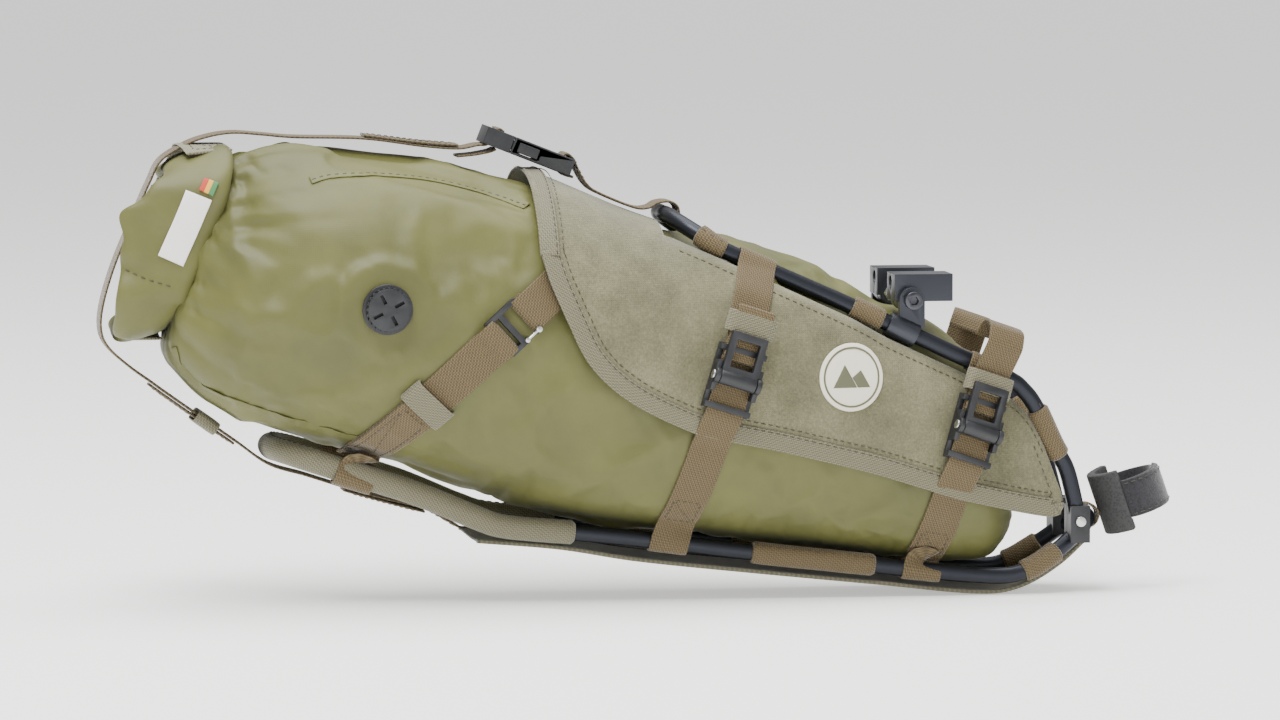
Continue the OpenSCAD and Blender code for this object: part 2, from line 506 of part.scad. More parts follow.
module cam_body() color(BLACK) {
    translate([-CAM_HALF, -cam_w / 2, 0]) cube([2 * CAM_HALF, cam_w, CAM_BASE]);
    for (s = [-1, 1]) translate([0, s * (cam_w / 2 - 1.25), 0]) difference() {
        union() {
            translate([-8, -1.25, 0]) cube([16, 2.5, PIN_Z]);
            translate([0, 1.25, PIN_Z]) rotate([90, 0, 0]) cylinder(r = 4, h = 2.5);
        }
        translate([0, 10, PIN_Z]) rotate([90, 0, 0]) cylinder(r = pin_r, h = 20);
    }
    for (s = [-1, 1]) translate([s * (CAM_HALF - 2) - 1.5, -cam_w / 2, WEB_Z + web_t / 2 + 0.3])
        cube([3, cam_w, 2]);
    for (s = [-1, 1], e = [-1, 1])
        translate([s * (CAM_HALF - 2) - 1.5, e * (cam_w / 2 - 1) - 1, CAM_BASE - eps])
        cube([3, 2, WEB_Z + web_t / 2 + 0.6 - CAM_BASE]);
}
LEVER_W = cam_w - 5 - 2 * gap;
module cam_lever() color(BLACK) difference() {
    union() {
        translate([0, LEVER_W / 2, PIN_Z]) rotate([90, 0, 0]) cylinder(r = HUB_R, h = LEVER_W);
        translate([0, -LEVER_W / 2, PIN_Z - 1.2]) cube([24, LEVER_W, 3.4]);
    }
    translate([6, -LEVER_W / 2 + 3.5, 0]) cube([14, LEVER_W - 7, 20]);
    translate([0, 30, PIN_Z]) rotate([90, 0, 0]) cylinder(r = pin_r + fit, h = 60);
}
module cam_pin() color(STEEL) translate([0, 0, PIN_Z]) rotate([90, 0, 0]) {
    cylinder(r = pin_r, h = cam_w, center = true);
    translate([0, 0, -cam_w / 2 - 1]) cylinder(r = 2.4, h = 1);
}
module cam_pins() both_sides() {
    on_cam(REAR_CAM) cam_pin();
    on_cam(FRONT_CAM) cam_pin();
}

// Elastic loops that hold the strap tails
module keeper_band(o, d, n, w, h, t) color([0.45, 0.44, 0.38]) on_frame(o, d, n) difference() {
    cube([h, w, t + 2], center = true);
    cube([h + 1, w - 2, t], center = true);
}
module strap_keepers() {
    both_sides() {
        keeper_band(cam_web_point(REAR_CAM, CAM_HALF + 12) + 0.8 * cam_out(REAR_CAM), cam_up(REAR_CAM),
            cam_out(REAR_CAM), web_w + 4, 8, web_t + 3);
        keeper_band(diagonal_point(0.36, DIAGONAL_OFF), diagonal_along(0.36), diagonal_out(0.36),
            web_w + 4, 12, web_t + 2);
    }
    keeper_band([-481.5, 0, 45], [-31, 0, 22], [-22, 0, -31], web_w + 4, 14, web_t + 1.2);
}

// Diagonal straps from the lower tube to the hook buckle at the panel's rear edge
function diagonal_point(s, off) = let (x = blend(DIAGONAL_LOW.x, DIAGONAL_HIGH.x, s),
        z = blend(DIAGONAL_LOW.y, DIAGONAL_HIGH.y, s)) [x, -rear_y(x, z, off), z];
DIAGONAL_OFF = 3.6;
function diagonal_along(s) = unit(diagonal_point(s + 0.06, 2) - diagonal_point(s - 0.06, 2));
function diagonal_out(s) = let (p = diagonal_point(s, 0))
    out_from(-p.y, rear_y(p.x + 1, p.z, 0), rear_y(p.x, p.z + 1, 0));
function diagonal_side(s) = cross(diagonal_along(s), diagonal_out(s));
HOOK_S = (HOOK_X - DIAGONAL_LOW.x) / (DIAGONAL_HIGH.x - DIAGONAL_LOW.x);
HOOK_HALF = 13;
function hook_o() = diagonal_point(HOOK_S, 3);
module on_hook() on_frame(hook_o(), diagonal_along(HOOK_S), diagonal_out(HOOK_S)) children();
DIAGONAL_SPOT = tube_spot(LOWER_HALF, 15, -409);
module diagonal_strap() color(BROWN) {
    over = [for (s = [0.1:0.1:0.62]) s];
    sweep(concat(wrap_arc(DIAGONAL_SPOT, WRAP_R + wrap_t + 0.6, 320, 200),
        [for (s = over) diagonal_point(s, DIAGONAL_OFF)],
        [hook_o() - diagonal_along(HOOK_S) * (HOOK_HALF + 1)]), flat_profile(web_w, web_t),
        concat(same(DIAGONAL_SPOT[1], 6), [for (s = over) -diagonal_side(s)], [-diagonal_side(HOOK_S)]));
}
module hook_buckle() color(BLACK) on_hook() difference() {
    translate([0, 0, -2]) linear_extrude(4) difference() {
        hull() {
            translate([-HOOK_HALF + 2, -11]) square([4, 22]);
            translate([HOOK_HALF - 7, -5]) circle(r = 6);
            translate([HOOK_HALF - 7, 5]) circle(r = 6);
        }
        translate([-HOOK_HALF + 5, -8.5]) square([4, 17]);
        translate([-HOOK_HALF + 12, -8.5]) square([8.5, 17]);
    }
    translate([1, -14, -3]) cube([4.2, 8, 6]);
    translate([GATE_AT.x, GATE_AT.y, -3]) cylinder(r = 0.8 + fit, h = 6);
}
GATE_AT = [7.4, -9.4];
module hook_gate() color(STEEL) on_hook() {
    translate([GATE_AT.x, GATE_AT.y, -1.5]) cylinder(r = 0.8, h = 4);
    translate([GATE_AT.x, GATE_AT.y, 2.3]) cylinder(r = 1.5, h = 2.4);
    translate([GATE_AT.x - 8, GATE_AT.y, 3.5]) rotate([0, 90, 0]) cylinder(r = 0.7, h = 8);
    translate([GATE_AT.x - 8, GATE_AT.y, 2.4]) cylinder(r = 1.2, h = 2.2);
}

module compression_strap() color(BROWN)
    sweep([for (p = COMPRESSION_RUN) [p.x, 0, p.y]], flat_profile(web_w, web_t), [0, 1, 0]);
module compression_anchor() color(BROWN)
    sweep([for (p = ANCHOR_RUN) [p.x, 0, p.y]], flat_profile(web_w, web_t), [0, 1, 0]);

upper_tube();
lower_tube();
joint_brackets();
joint_screws();
tube_clamp();  // tube_clamp_right
left_side() tube_clamp();  // tube_clamp_left
outer_jaw();  // outer_jaw_right
left_side() outer_jaw();  // outer_jaw_left
inner_jaw();  // inner_jaw_right
left_side() inner_jaw();  // inner_jaw_left
clamp_bolt();  // clamp_bolt_right
left_side() clamp_bolt();  // clamp_bolt_left
clamp_nut();  // clamp_nut_right
left_side() clamp_nut();  // clamp_nut_left
seatpost_pad();
seatpost_strap();
front_webbing_loop();
hood_top();
side_panel();  // side_panel_right
left_side() side_panel();  // side_panel_left
edge_binding();
base_sheet();
tube_sleeve();
tube_wraps();
drybag();
roll_closure();
roll_webbing();
roll_clip() clip_socket();  // roll_buckle_socket
roll_clip() clip_plug();  // roll_buckle_plug
roll_clip() clip_prong();  // roll_prong_upper
roll_clip() left_side() clip_prong();  // roll_prong_lower
patches();
valve_base();
valve_cap();
rear_strap();  // rear_strap_right
left_side() rear_strap();  // rear_strap_left
front_strap();  // front_strap_right
left_side() front_strap();  // front_strap_left
on_cam(REAR_CAM) cam_body();  // rear_buckle_right
left_side() on_cam(REAR_CAM) cam_body();  // rear_buckle_left
on_cam(FRONT_CAM) cam_body();  // front_buckle_right
left_side() on_cam(FRONT_CAM) cam_body();  // front_buckle_left
on_cam(REAR_CAM) cam_lever();  // rear_lever_right
left_side() on_cam(REAR_CAM) cam_lever();  // rear_lever_left
on_cam(FRONT_CAM) cam_lever();  // front_lever_right
left_side() on_cam(FRONT_CAM) cam_lever();  // front_lever_left
cam_pins();
strap_keepers();
diagonal_strap();  // diagonal_strap_right
left_side() diagonal_strap();  // diagonal_strap_left
hook_buckle();  // hook_buckle_right
left_side() hook_buckle();  // hook_buckle_left
hook_gate();  // hook_gate_right
left_side() hook_gate();  // hook_gate_left
compression_strap();
compression_anchor();
top_clip() clip_socket();  // top_buckle_socket
top_clip() clip_plug();  // top_buckle_plug
top_clip() clip_prong();  // top_prong_right
top_clip() left_side() clip_prong();  // top_prong_left
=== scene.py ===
"""A bicycle saddle bag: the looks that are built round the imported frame.

A roll-top dry bag of coated fabric sits in a harness of two bent tubes.  Waxed-canvas panels
hang from the upper tube, webbing straps with cam buckles squeeze the load, two clamps grip the
saddle's rails and a hook-and-loop strap holds the seatpost.  All places are in metres in the
frame's own axes: +X forward on the bicycle, +Y to its left and +Z up.
"""

from __future__ import annotations

import logging
from dataclasses import dataclass, field
from enum import Enum
from typing import Sequence

import bmesh
import bpy
import numpy as np
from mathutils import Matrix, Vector
from mathutils.bvhtree import BVHTree


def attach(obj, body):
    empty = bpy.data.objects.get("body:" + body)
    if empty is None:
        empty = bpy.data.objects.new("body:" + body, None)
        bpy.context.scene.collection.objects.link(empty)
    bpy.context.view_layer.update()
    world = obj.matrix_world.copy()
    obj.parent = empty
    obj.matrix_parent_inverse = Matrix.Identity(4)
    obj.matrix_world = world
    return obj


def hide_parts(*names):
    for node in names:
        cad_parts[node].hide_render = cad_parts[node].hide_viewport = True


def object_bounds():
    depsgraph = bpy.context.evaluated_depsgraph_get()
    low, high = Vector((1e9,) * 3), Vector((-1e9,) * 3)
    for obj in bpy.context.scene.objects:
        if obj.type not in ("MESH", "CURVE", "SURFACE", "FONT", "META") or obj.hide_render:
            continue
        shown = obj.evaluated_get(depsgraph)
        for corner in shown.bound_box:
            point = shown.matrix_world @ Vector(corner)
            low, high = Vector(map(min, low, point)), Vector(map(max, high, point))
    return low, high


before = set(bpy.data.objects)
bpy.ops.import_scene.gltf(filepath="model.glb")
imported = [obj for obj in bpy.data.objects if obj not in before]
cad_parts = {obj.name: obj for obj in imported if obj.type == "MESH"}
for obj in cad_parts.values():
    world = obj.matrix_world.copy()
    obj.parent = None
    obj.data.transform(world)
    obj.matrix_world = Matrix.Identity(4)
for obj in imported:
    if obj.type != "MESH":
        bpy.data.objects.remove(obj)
CAD_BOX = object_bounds()

MM = 0.001
ROOT = "harness"
LOG = logging.getLogger("saddle_bag")


class Side(Enum):
    """The bicycle's two sides, with the sign of Y on each."""

    RIGHT = -1
    LEFT = 1

    @property
    def word(self) -> str:
        """The side's name as it stands in node names."""
        return self.name.lower()


# ---------------------------------------------------------------- curves and surfaces


def spline(points: Sequence, count: int, closed: bool = False) -> np.ndarray:
    """A Catmull-Rom curve through points, resampled to equal steps of arc length.

    Each stretch is the cubic that passes through its two ends with the slope of the chord
    between their neighbours.

    Args:
        points: the points to pass through, in any number of dimensions.
        count: how many samples to return.
        closed: whether the curve returns to its first point.

    Returns:
        An array of count samples.
    """
    p = np.asarray(points, float)
    if closed:
        ext = np.vstack([p[-1:], p, p[:2]])
    else:
        ext = np.vstack([2 * p[:1] - p[1:2], p, 2 * p[-1:] - p[-2:-1]])
    stretches, steps = len(ext) - 3, 24
    t = np.linspace(0, stretches, steps * stretches + 1)
    i = np.minimum(t.astype(int), stretches - 1)
    f = (t - i)[:, None]
    a, b, c, d = ext[i], ext[i + 1], ext[i + 2], ext[i + 3]
    second, third = 2 * a - 5 * b + 4 * c - d, 3 * b - a - 3 * c + d
    curve = 0.5 * (2 * b + (c - a) * f + second * f**2 + third * f**3)
    return resample(curve, count, closed)


def resample(curve: np.ndarray, count: int, closed: bool = False) -> np.ndarray:
    """The same curve at count equal steps of arc length."""
    run = arc_length(curve)
    at = np.linspace(0, run[-1], count, endpoint=not closed)
    return sampled(at, run, curve)


def sampled(at: np.ndarray, run: np.ndarray, values: np.ndarray) -> np.ndarray:
    """Rows of values that are known at the distances run, read off at other distances."""
    return np.stack([np.interp(at, run, column) for column in values.T], axis=-1)


def arc_length(curve: np.ndarray) -> np.ndarray:
    """Distance along a curve at each of its points."""
    return np.concatenate([[0.0], np.cumsum(np.linalg.norm(np.diff(curve, axis=0), axis=1))])


def unit(v: np.ndarray) -> np.ndarray:
    """Vectors scaled to length one along the last axis."""
    return v / np.maximum(np.linalg.norm(v, axis=-1, keepdims=True), 1e-12)


def smooth_step(t: np.ndarray) -> np.ndarray:
    """The cubic that rises from 0 to 1 with flat ends."""
    t = np.clip(t, 0.0, 1.0)
    return t * t * (3 - 2 * t)


def power(v: np.ndarray, p: float) -> np.ndarray:
    """Signed power: the sign of v times |v| to the p."""
    return np.sign(v) * np.abs(v) ** p


def tangents(path: np.ndarray, closed: bool = False) -> np.ndarray:
    """Unit directions along a path, by central differences."""
    if closed:
        return unit(np.roll(path, -1, axis=0) - np.roll(path, 1, axis=0))
    return unit(np.gradient(path, axis=0))


def squared(v: np.ndarray, t: np.ndarray) -> np.ndarray:
    """The unit directions nearest to v that stand square to the unit directions t."""
    return unit(v - t * np.sum(v * t, axis=1, keepdims=True))


def waves(at: np.ndarray, seed: int, scale: float, count: int = 5) -> np.ndarray:
    """Smooth noise: a sum of sines of random direction and phase over points or numbers.

    Args:
        at: points (n, k) or numbers (n,).
        seed: fixes the directions and phases.
        scale: the length over which the noise changes.
        count: how many sines are added.

    Returns:
        Values of about -1 to 1, one for each point.
    """
    rng = np.random.default_rng(seed)
    p = np.asarray(at, float)
    p = p[..., None] if p.ndim == 1 else p
    total = np.zeros(p.shape[:-1])
    for k in range(count):
        d = unit(rng.normal(size=p.shape[-1])) * (0.7 + 0.9 * k / count)
        total += np.sin(p @ d * 2 * np.pi / scale + rng.uniform(0, 6.28))
    return total / count**0.75


def grid_faces(rows: int, cols: int, wrap_rows: bool = False, wrap_cols: bool = False) -> np.ndarray:
    """Quads of a grid of points whose index is row * cols + column."""
    r = np.arange(rows if wrap_rows else rows - 1)[:, None]
    c = np.arange(cols if wrap_cols else cols - 1)[None, :]
    r2, c2 = (r + 1) % rows, (c + 1) % cols
    return np.stack([r * cols + c, r * cols + c2, r2 * cols + c2, r2 * cols + c], axis=-1).reshape(-1, 4)


def tube_faces(rows: int, cols: int) -> list[list[int]]:
    """Faces over rings of cols points each, with both ends capped."""
    caps = [list(range(cols))[::-1], list(range((rows - 1) * cols, rows * cols))]
    return grid_faces(rows, cols, False, True).tolist() + caps


def make_piece(name: str, points: np.ndarray, faces: Sequence,
               uv: np.ndarray | None = None) -> bpy.types.Object:
    """A smooth mesh object at the origin.

    Args:
        name: the piece's name.
        points: (n, 3) places in metres.
        faces: index tuples, anticlockwise seen from outside.
        uv: one (u, v) for each point, or None.

    Returns:
        The new object, linked to the scene.
    """
    mesh = bpy.data.meshes.new(name)
    faces = faces.tolist() if isinstance(faces, np.ndarray) else [list(map(int, f)) for f in faces]
    mesh.from_pydata(np.asarray(points, float).reshape(-1, 3).tolist(), [], faces)
    if uv is not None:
        corner = np.zeros(len(mesh.loops), np.int32)
        mesh.loops.foreach_get("vertex_index", corner)
        layer = mesh.uv_layers.new(name="surface")
        layer.data.foreach_set("uv", np.asarray(uv, np.float32).reshape(-1, 2)[corner].ravel())
    mesh.polygons.foreach_set("use_smooth", np.full(len(mesh.polygons), True))
    mesh.update()
    piece = bpy.data.objects.new(name, mesh)
    bpy.context.scene.collection.objects.link(piece)
    return piece


def face_outwards(piece: bpy.types.Object) -> bpy.types.Object:
    """Turns every face of a closed piece outwards."""
    work = bmesh.new()
    work.from_mesh(piece.data)
    bmesh.ops.recalc_face_normals(work, faces=work.faces)
    work.to_mesh(piece.data)
    work.free()
    piece.data.update()
    return piece


def join_parts(name: str, parts: Sequence[tuple[np.ndarray, Sequence]]) -> bpy.types.Object:
    """One object from several (points, faces) parts."""
    points, faces, base = [], [], 0
    for p, f in parts:
        p = np.asarray(p, float).reshape(-1, 3)
        points.append(p)
        faces.extend([[int(i) + base for i in face] for face in f])
        base += len(p)
    return make_piece(name, np.vstack(points), faces)


def carried(path: np.ndarray, profile: np.ndarray, side: np.ndarray, closed: bool = False) -> np.ndarray:
    """A profile carried along a path: path + x * width + y * normal, width held near side.

    Args:
        path: (n, 3) points.
        profile: (m, 2) or (n, m, 2) offsets along the width and the normal.
        side: one direction, or one for each point.
        closed: whether the path is a loop.

    Returns:
        (n, m, 3) points.
    """
    t = tangents(path, closed)
    side = np.broadcast_to(np.asarray(side, float), path.shape)
    width = squared(side, t)
    normal = np.cross(t, width)
    prof = np.broadcast_to(profile, (len(path),) + profile.shape[-2:])
    return path[:, None] + prof[..., :1] * width[:, None] + prof[..., 1:] * normal[:, None]


def skinned(name: str, rings: np.ndarray, closed: bool = False) -> bpy.types.Object:
    """A closed skin over rings (n, m, 3), with UVs in metres round and along it."""
    n, m = rings.shape[:2]
    faces = grid_faces(n, m, True, True) if closed else tube_faces(n, m)
    around = arc_length(np.vstack([rings[n // 2], rings[n // 2][:1]]))[:-1]
    along = arc_length(rings[:, 0])
    uv = np.stack(np.meshgrid(around, along), axis=-1).reshape(-1, 2)
    return face_outwards(make_piece(name, rings.reshape(-1, 3), faces, uv))


def circle(radius: float, steps: int) -> np.ndarray:
    """A round profile."""
    a = np.linspace(0, 2 * np.pi, steps, endpoint=False)
    return radius * np.stack([np.cos(a), np.sin(a)], axis=1)


def strip_profile(width: float, thick: float, steps: int = 7) -> np.ndarray:
    """A flat strip's section with rounded edges: a superellipse of high power."""
    a = np.linspace(0, 2 * np.pi, 4 * steps, endpoint=False)
    return np.stack([width / 2 * power(np.cos(a), 0.28), thick / 2 * power(np.sin(a), 0.55)], axis=1)


def ribbon(name: str, path: np.ndarray, normal: np.ndarray, width: float, thick: float) -> bpy.types.Object:
    """A webbing or tape strip along path whose outer face looks along normal.

    The UV map runs across the strip in u and along it in v, both in metres.
    """
    t = tangents(path)
    normal = np.broadcast_to(np.asarray(normal, float), path.shape)
    out = squared(normal, t)
    across = np.cross(out, t)
    prof = strip_profile(width, thick)
    rings = path[:, None] + prof[None, :, :1] * across[:, None] + prof[None, :, 1:] * out[:, None]
    n, m = rings.shape[:2]
    u = np.broadcast_to(prof[:, 0] + width / 2, (n, m))
    v = np.broadcast_to(arc_length(path)[:, None], (n, m))
    return face_outwards(make_piece(name, rings.reshape(-1, 3), tube_faces(n, m), np.stack([u, v], axis=-1)))


def flat_loop(name: str, loop: np.ndarray, side: np.ndarray, width: float, thick: float) -> bpy.types.Object:
    """A strip closed into a loop, its width held near side, with the same UV map as a ribbon."""
    prof = strip_profile(width, thick)
    rings = carried(loop, prof, side, True)
    uv = np.stack(np.broadcast_arrays(prof[None, :, 0], arc_length(loop)[:, None]), axis=-1)
    return face_outwards(make_piece(name, rings.reshape(-1, 3), grid_faces(*rings.shape[:2], True, True), uv))


def stitch_row(path: np.ndarray, normal: np.ndarray, long: float = 2.4 * MM, gap: float = 1.5 * MM,
               thick: float = 0.55 * MM) -> tuple[np.ndarray, list]:
    """A row of thread stitches along a path: each is a capsule lying half in the cloth.

    Args:
        path: dense points on the cloth.
        normal: the cloth's outward direction at each point.
        long: a stitch's length.
        gap: the space between stitches.
        thick: the thread's thickness.

    Returns:
        The points and faces of all the stitches.
    """
    run = arc_length(path)
    count = max(2, int(run[-1] / (long + gap)))
    at = (np.arange(count) + 0.5) * run[-1] / count
    centre = sampled(at, run, path)
    t = unit(sampled(at, run, tangents(path)))
    out = squared(sampled(at, run, np.broadcast_to(np.asarray(normal, float), path.shape)), t)
    across = np.cross(out, t)
    # Each capsule is four hexagons, narrow at both ends
    along = np.array([-0.5, -0.36, 0.36, 0.5])
    girth = np.array([0.3, 1.0, 1.0, 0.3])
    rings, sides = len(along), 6
    a = np.linspace(0, 2 * np.pi, sides, endpoint=False)
    local = np.stack([np.repeat(along * long, sides), np.outer(girth, np.cos(a)).ravel() * thick / 2,
                      np.outer(girth, np.sin(a)).ravel() * thick / 2], axis=1)
    points = (centre[:, None] + local[None, :, :1] * t[:, None] + local[None, :, 1:2] * across[:, None]
              + (local[None, :, 2:] + thick * 0.2) * out[:, None])
    capsule = tube_faces(rings, sides)
    faces = [[i + rings * sides * k for i in f] for k in range(count) for f in capsule]
    return points.reshape(-1, 3), faces


def stitches(name: str, rows: Sequence[tuple]) -> bpy.types.Object:
    """One object of many stitch rows, each a (path, normal) pair with its own settings."""
    piece = face_outwards(join_parts(name, [stitch_row(*row) for row in rows]))
    return dress(piece, Thread(), ROOT)


def mirrored(points: np.ndarray) -> np.ndarray:
    """Points on the other side of the middle plane."""
    return np.asarray(points, float) * np.array([1.0, -1.0, 1.0])


def sided(points: np.ndarray, side: Side) -> np.ndarray:
    """Points that are worked out on the right side, on the asked side."""
    return points if side is Side.RIGHT else mirrored(points)


# ---------------------------------------------------------------- finishes


def srgb(code: str) -> tuple[float, float, float, float]:
    """A hex colour as linear red, green, blue and alpha."""
    parts = [int(code[i:i + 2], 16) / 255 for i in (1, 3, 5)]
    linear = [c / 12.92 if c <= 0.04045 else ((c + 0.055) / 1.055) ** 2.4 for c in parts]
    return (*linear, 1.0)


def add(tree: bpy.types.NodeTree, kind: str, inputs: dict | None = None, **settings) -> bpy.types.Node:
    """Adds one node, sets its properties and fills its inputs with values or links.

    Args:
        tree: the node tree.
        kind: the node's type.
        inputs: value or output socket by input name or index.
        settings: the node's own properties.

    Returns:
        The node.
    """
    made = tree.nodes.new(kind)
    for key, value in settings.items():
        setattr(made, key, value)
    for key, value in (inputs or {}).items():
        socket = made.inputs[key]
        if isinstance(value, bpy.types.NodeSocket):
            tree.links.new(value, socket)
        else:
            socket.default_value = value
    return made


def place_on(tree: bpy.types.NodeTree) -> bpy.types.NodeSocket:
    """A point's place on its own piece."""
    return add(tree, "ShaderNodeTexCoord").outputs["Object"]


def noise(tree: bpy.types.NodeTree, where: bpy.types.NodeSocket, scale: float, detail: float,
          **more: float) -> bpy.types.NodeSocket:
    """Noise over places; more fills other inputs by name."""
    inputs = {"Vector": where, "Scale": scale, "Detail": detail, **more}
    return add(tree, "ShaderNodeTexNoise", inputs).outputs["Fac"]


def spread(tree: bpy.types.NodeTree, value: bpy.types.NodeSocket, low: float, high: float) -> bpy.types.NodeSocket:
    """A value of 0 to 1 spread from low to high."""
    return add(tree, "ShaderNodeMapRange", {"Value": value, "To Min": low, "To Max": high}).outputs["Result"]


def product(tree: bpy.types.NodeTree, a: bpy.types.NodeSocket,
            b: bpy.types.NodeSocket | float) -> bpy.types.NodeSocket:
    """One value times another."""
    return add(tree, "ShaderNodeMath", {0: a, 1: b}, operation="MULTIPLY").outputs[0]


def ramp(tree: bpy.types.NodeTree, factor: bpy.types.NodeSocket,
         stops: Sequence[tuple[float, str]]) -> bpy.types.NodeSocket:
    """A colour ramp with stops of (place, hex colour), returning its colour output."""
    made = add(tree, "ShaderNodeValToRGB", {"Fac": factor})
    elements = made.color_ramp.elements
    while len(elements) < len(stops):
        elements.new(0.5)
    for element, (place, code) in zip(elements, stops):
        element.position = place
        element.color = srgb(code)
    return made.outputs["Color"]


@dataclass(frozen=True)
class Finish:
    """A surface finish: a Principled shader fed by the finish's own pattern."""

    title: str = "plain"
    slot: str = "black_plastic"

    def pattern(self, tree: bpy.types.NodeTree, shader: bpy.types.Node) -> None:
        """Adds the finish's pattern; a subclass fills this in."""

    def material(self) -> bpy.types.Material:
        """The finish's material, made once and then shared."""
        found = bpy.data.materials.get(self.title)
        if found:
            return found
        made = bpy.data.materials.new(self.title)
        made.use_nodes = True
        tree = made.node_tree
        tree.nodes.clear()
        shader = add(tree, "ShaderNodeBsdfPrincipled")
        add(tree, "ShaderNodeOutputMaterial", {"Surface": shader.outputs["BSDF"]})
        self.pattern(tree, shader)
        return made

    @staticmethod
    def fill(shader: bpy.types.Node, tree: bpy.types.NodeTree, **values) -> None:
        """Sets shader sockets by name, with underscores for spaces; sockets given are linked."""
        for key, value in values.items():
            socket = shader.inputs[key.replace("_", " ")]
            if isinstance(value, bpy.types.NodeSocket):
                tree.links.new(value, socket)
            else:
                socket.default_value = value


def bump(tree: bpy.types.NodeTree, height: bpy.types.NodeSocket, depth: float, strength: float = 1.0,
         under: bpy.types.NodeSocket | None = None) -> bpy.types.NodeSocket:
    """A bump of the given depth in metres, over another bump's normal if one is given."""
    inputs = {"Height": height, "Distance": depth, "Strength": strength}
    if under is not None:
        inputs["Normal"] = under
    return add(tree, "ShaderNodeBump", inputs).outputs["Normal"]


def thread_wave(tree: bpy.types.NodeTree, vector: bpy.types.NodeSocket, spacing: float,
                axis: str) -> bpy.types.NodeSocket:
    """Parallel threads: a sine band wave whose period along an axis is spacing in metres."""
    # The band texture repeats every 2 pi / 20 units of its scaled coordinate.
    return add(tree, "ShaderNodeTexWave", {"Vector": vector, "Scale": 2 * np.pi / 20 / spacing},
               wave_type="BANDS", bands_direction=axis, wave_profile="SIN").outputs["Fac"]


@dataclass(frozen=True)
class CoatedFabric(Finish):
    """Polyester with a satin polyurethane coat: smooth, a little waxy, its weave just telling."""

    title: str = "coated_polyester"
    slot: str = "coated_fabric"
    light: str = "#616130"
    deep: str = "#505127"

    def pattern(self, tree: bpy.types.NodeTree, shader: bpy.types.Node) -> None:
        """Slow mottling, a fine thread weave and the coat's grain."""
        where = place_on(tree)
        mottle = noise(tree, where, 22.0, 5.0, Roughness=0.55)
        colour = ramp(tree, mottle, [(0.3, self.deep), (0.7, self.light)])
        warp = thread_wave(tree, where, 0.9 * MM, "X")  # real threads are 0.3 mm; drawn coarser
        weft = thread_wave(tree, where, 0.9 * MM, "Z")
        weave = product(tree, warp, weft)
        grain = noise(tree, where, 900.0, 2.0)
        crinkle = noise(tree, where, 55.0, 6.0, Distortion=0.4)
        normal = bump(tree, crinkle, 1.1 * MM, 0.35)
        normal = bump(tree, weave, 0.06 * MM, 0.35, normal)
        normal = bump(tree, grain, 0.05 * MM, 0.3, normal)
        rough = spread(tree, mottle, 0.50, 0.62)
        self.fill(shader, tree, Base_Color=colour, Roughness=rough, Normal=normal, Sheen_Weight=0.06,
                  Sheen_Roughness=0.4, Coat_Weight=0.03, Coat_Roughness=0.35, IOR=1.46)


@dataclass(frozen=True)
class WaxedCanvas(Finish):
    """Waxed cotton and polyester canvas: dry, faintly hairy, threads of two close colours."""

    title: str = "waxed_canvas"
    slot: str = "canvas"
    light: str = "#7C785C"
    mid: str = "#68654A"
    deep: str = "#535139"

    def pattern(self, tree: bpy.types.NodeTree, shader: bpy.types.Node) -> None:
        """Plain weave with flecks of lighter and darker yarn and slow waxy patches."""
        where = place_on(tree)
        fleck = noise(tree, where, 820.0, 3.0, Roughness=0.75)
        patch = noise(tree, where, 38.0, 6.0, Roughness=0.6)
        mixed = add(tree, "ShaderNodeMath", {0: fleck, 1: patch}, operation="ADD").outputs[0]
        half = product(tree, mixed, 0.5)
        colour = ramp(tree, half, [(0.36, self.deep), (0.5, self.mid), (0.63, self.light)])
        warp = thread_wave(tree, where, 1.1 * MM, "X")  # real threads are 0.5 mm; drawn coarser
        weft = thread_wave(tree, where, 1.1 * MM, "Z")
        weave = product(tree, warp, weft)
        normal = bump(tree, patch, 0.8 * MM, 0.3)
        normal = bump(tree, weave, 0.16 * MM, 0.7, normal)
        normal = bump(tree, fleck, 0.12 * MM, 0.6, normal)
        self.fill(shader, tree, Base_Color=colour, Roughness=0.86, Normal=normal, Sheen_Weight=0.25,
                  Sheen_Roughness=0.5)


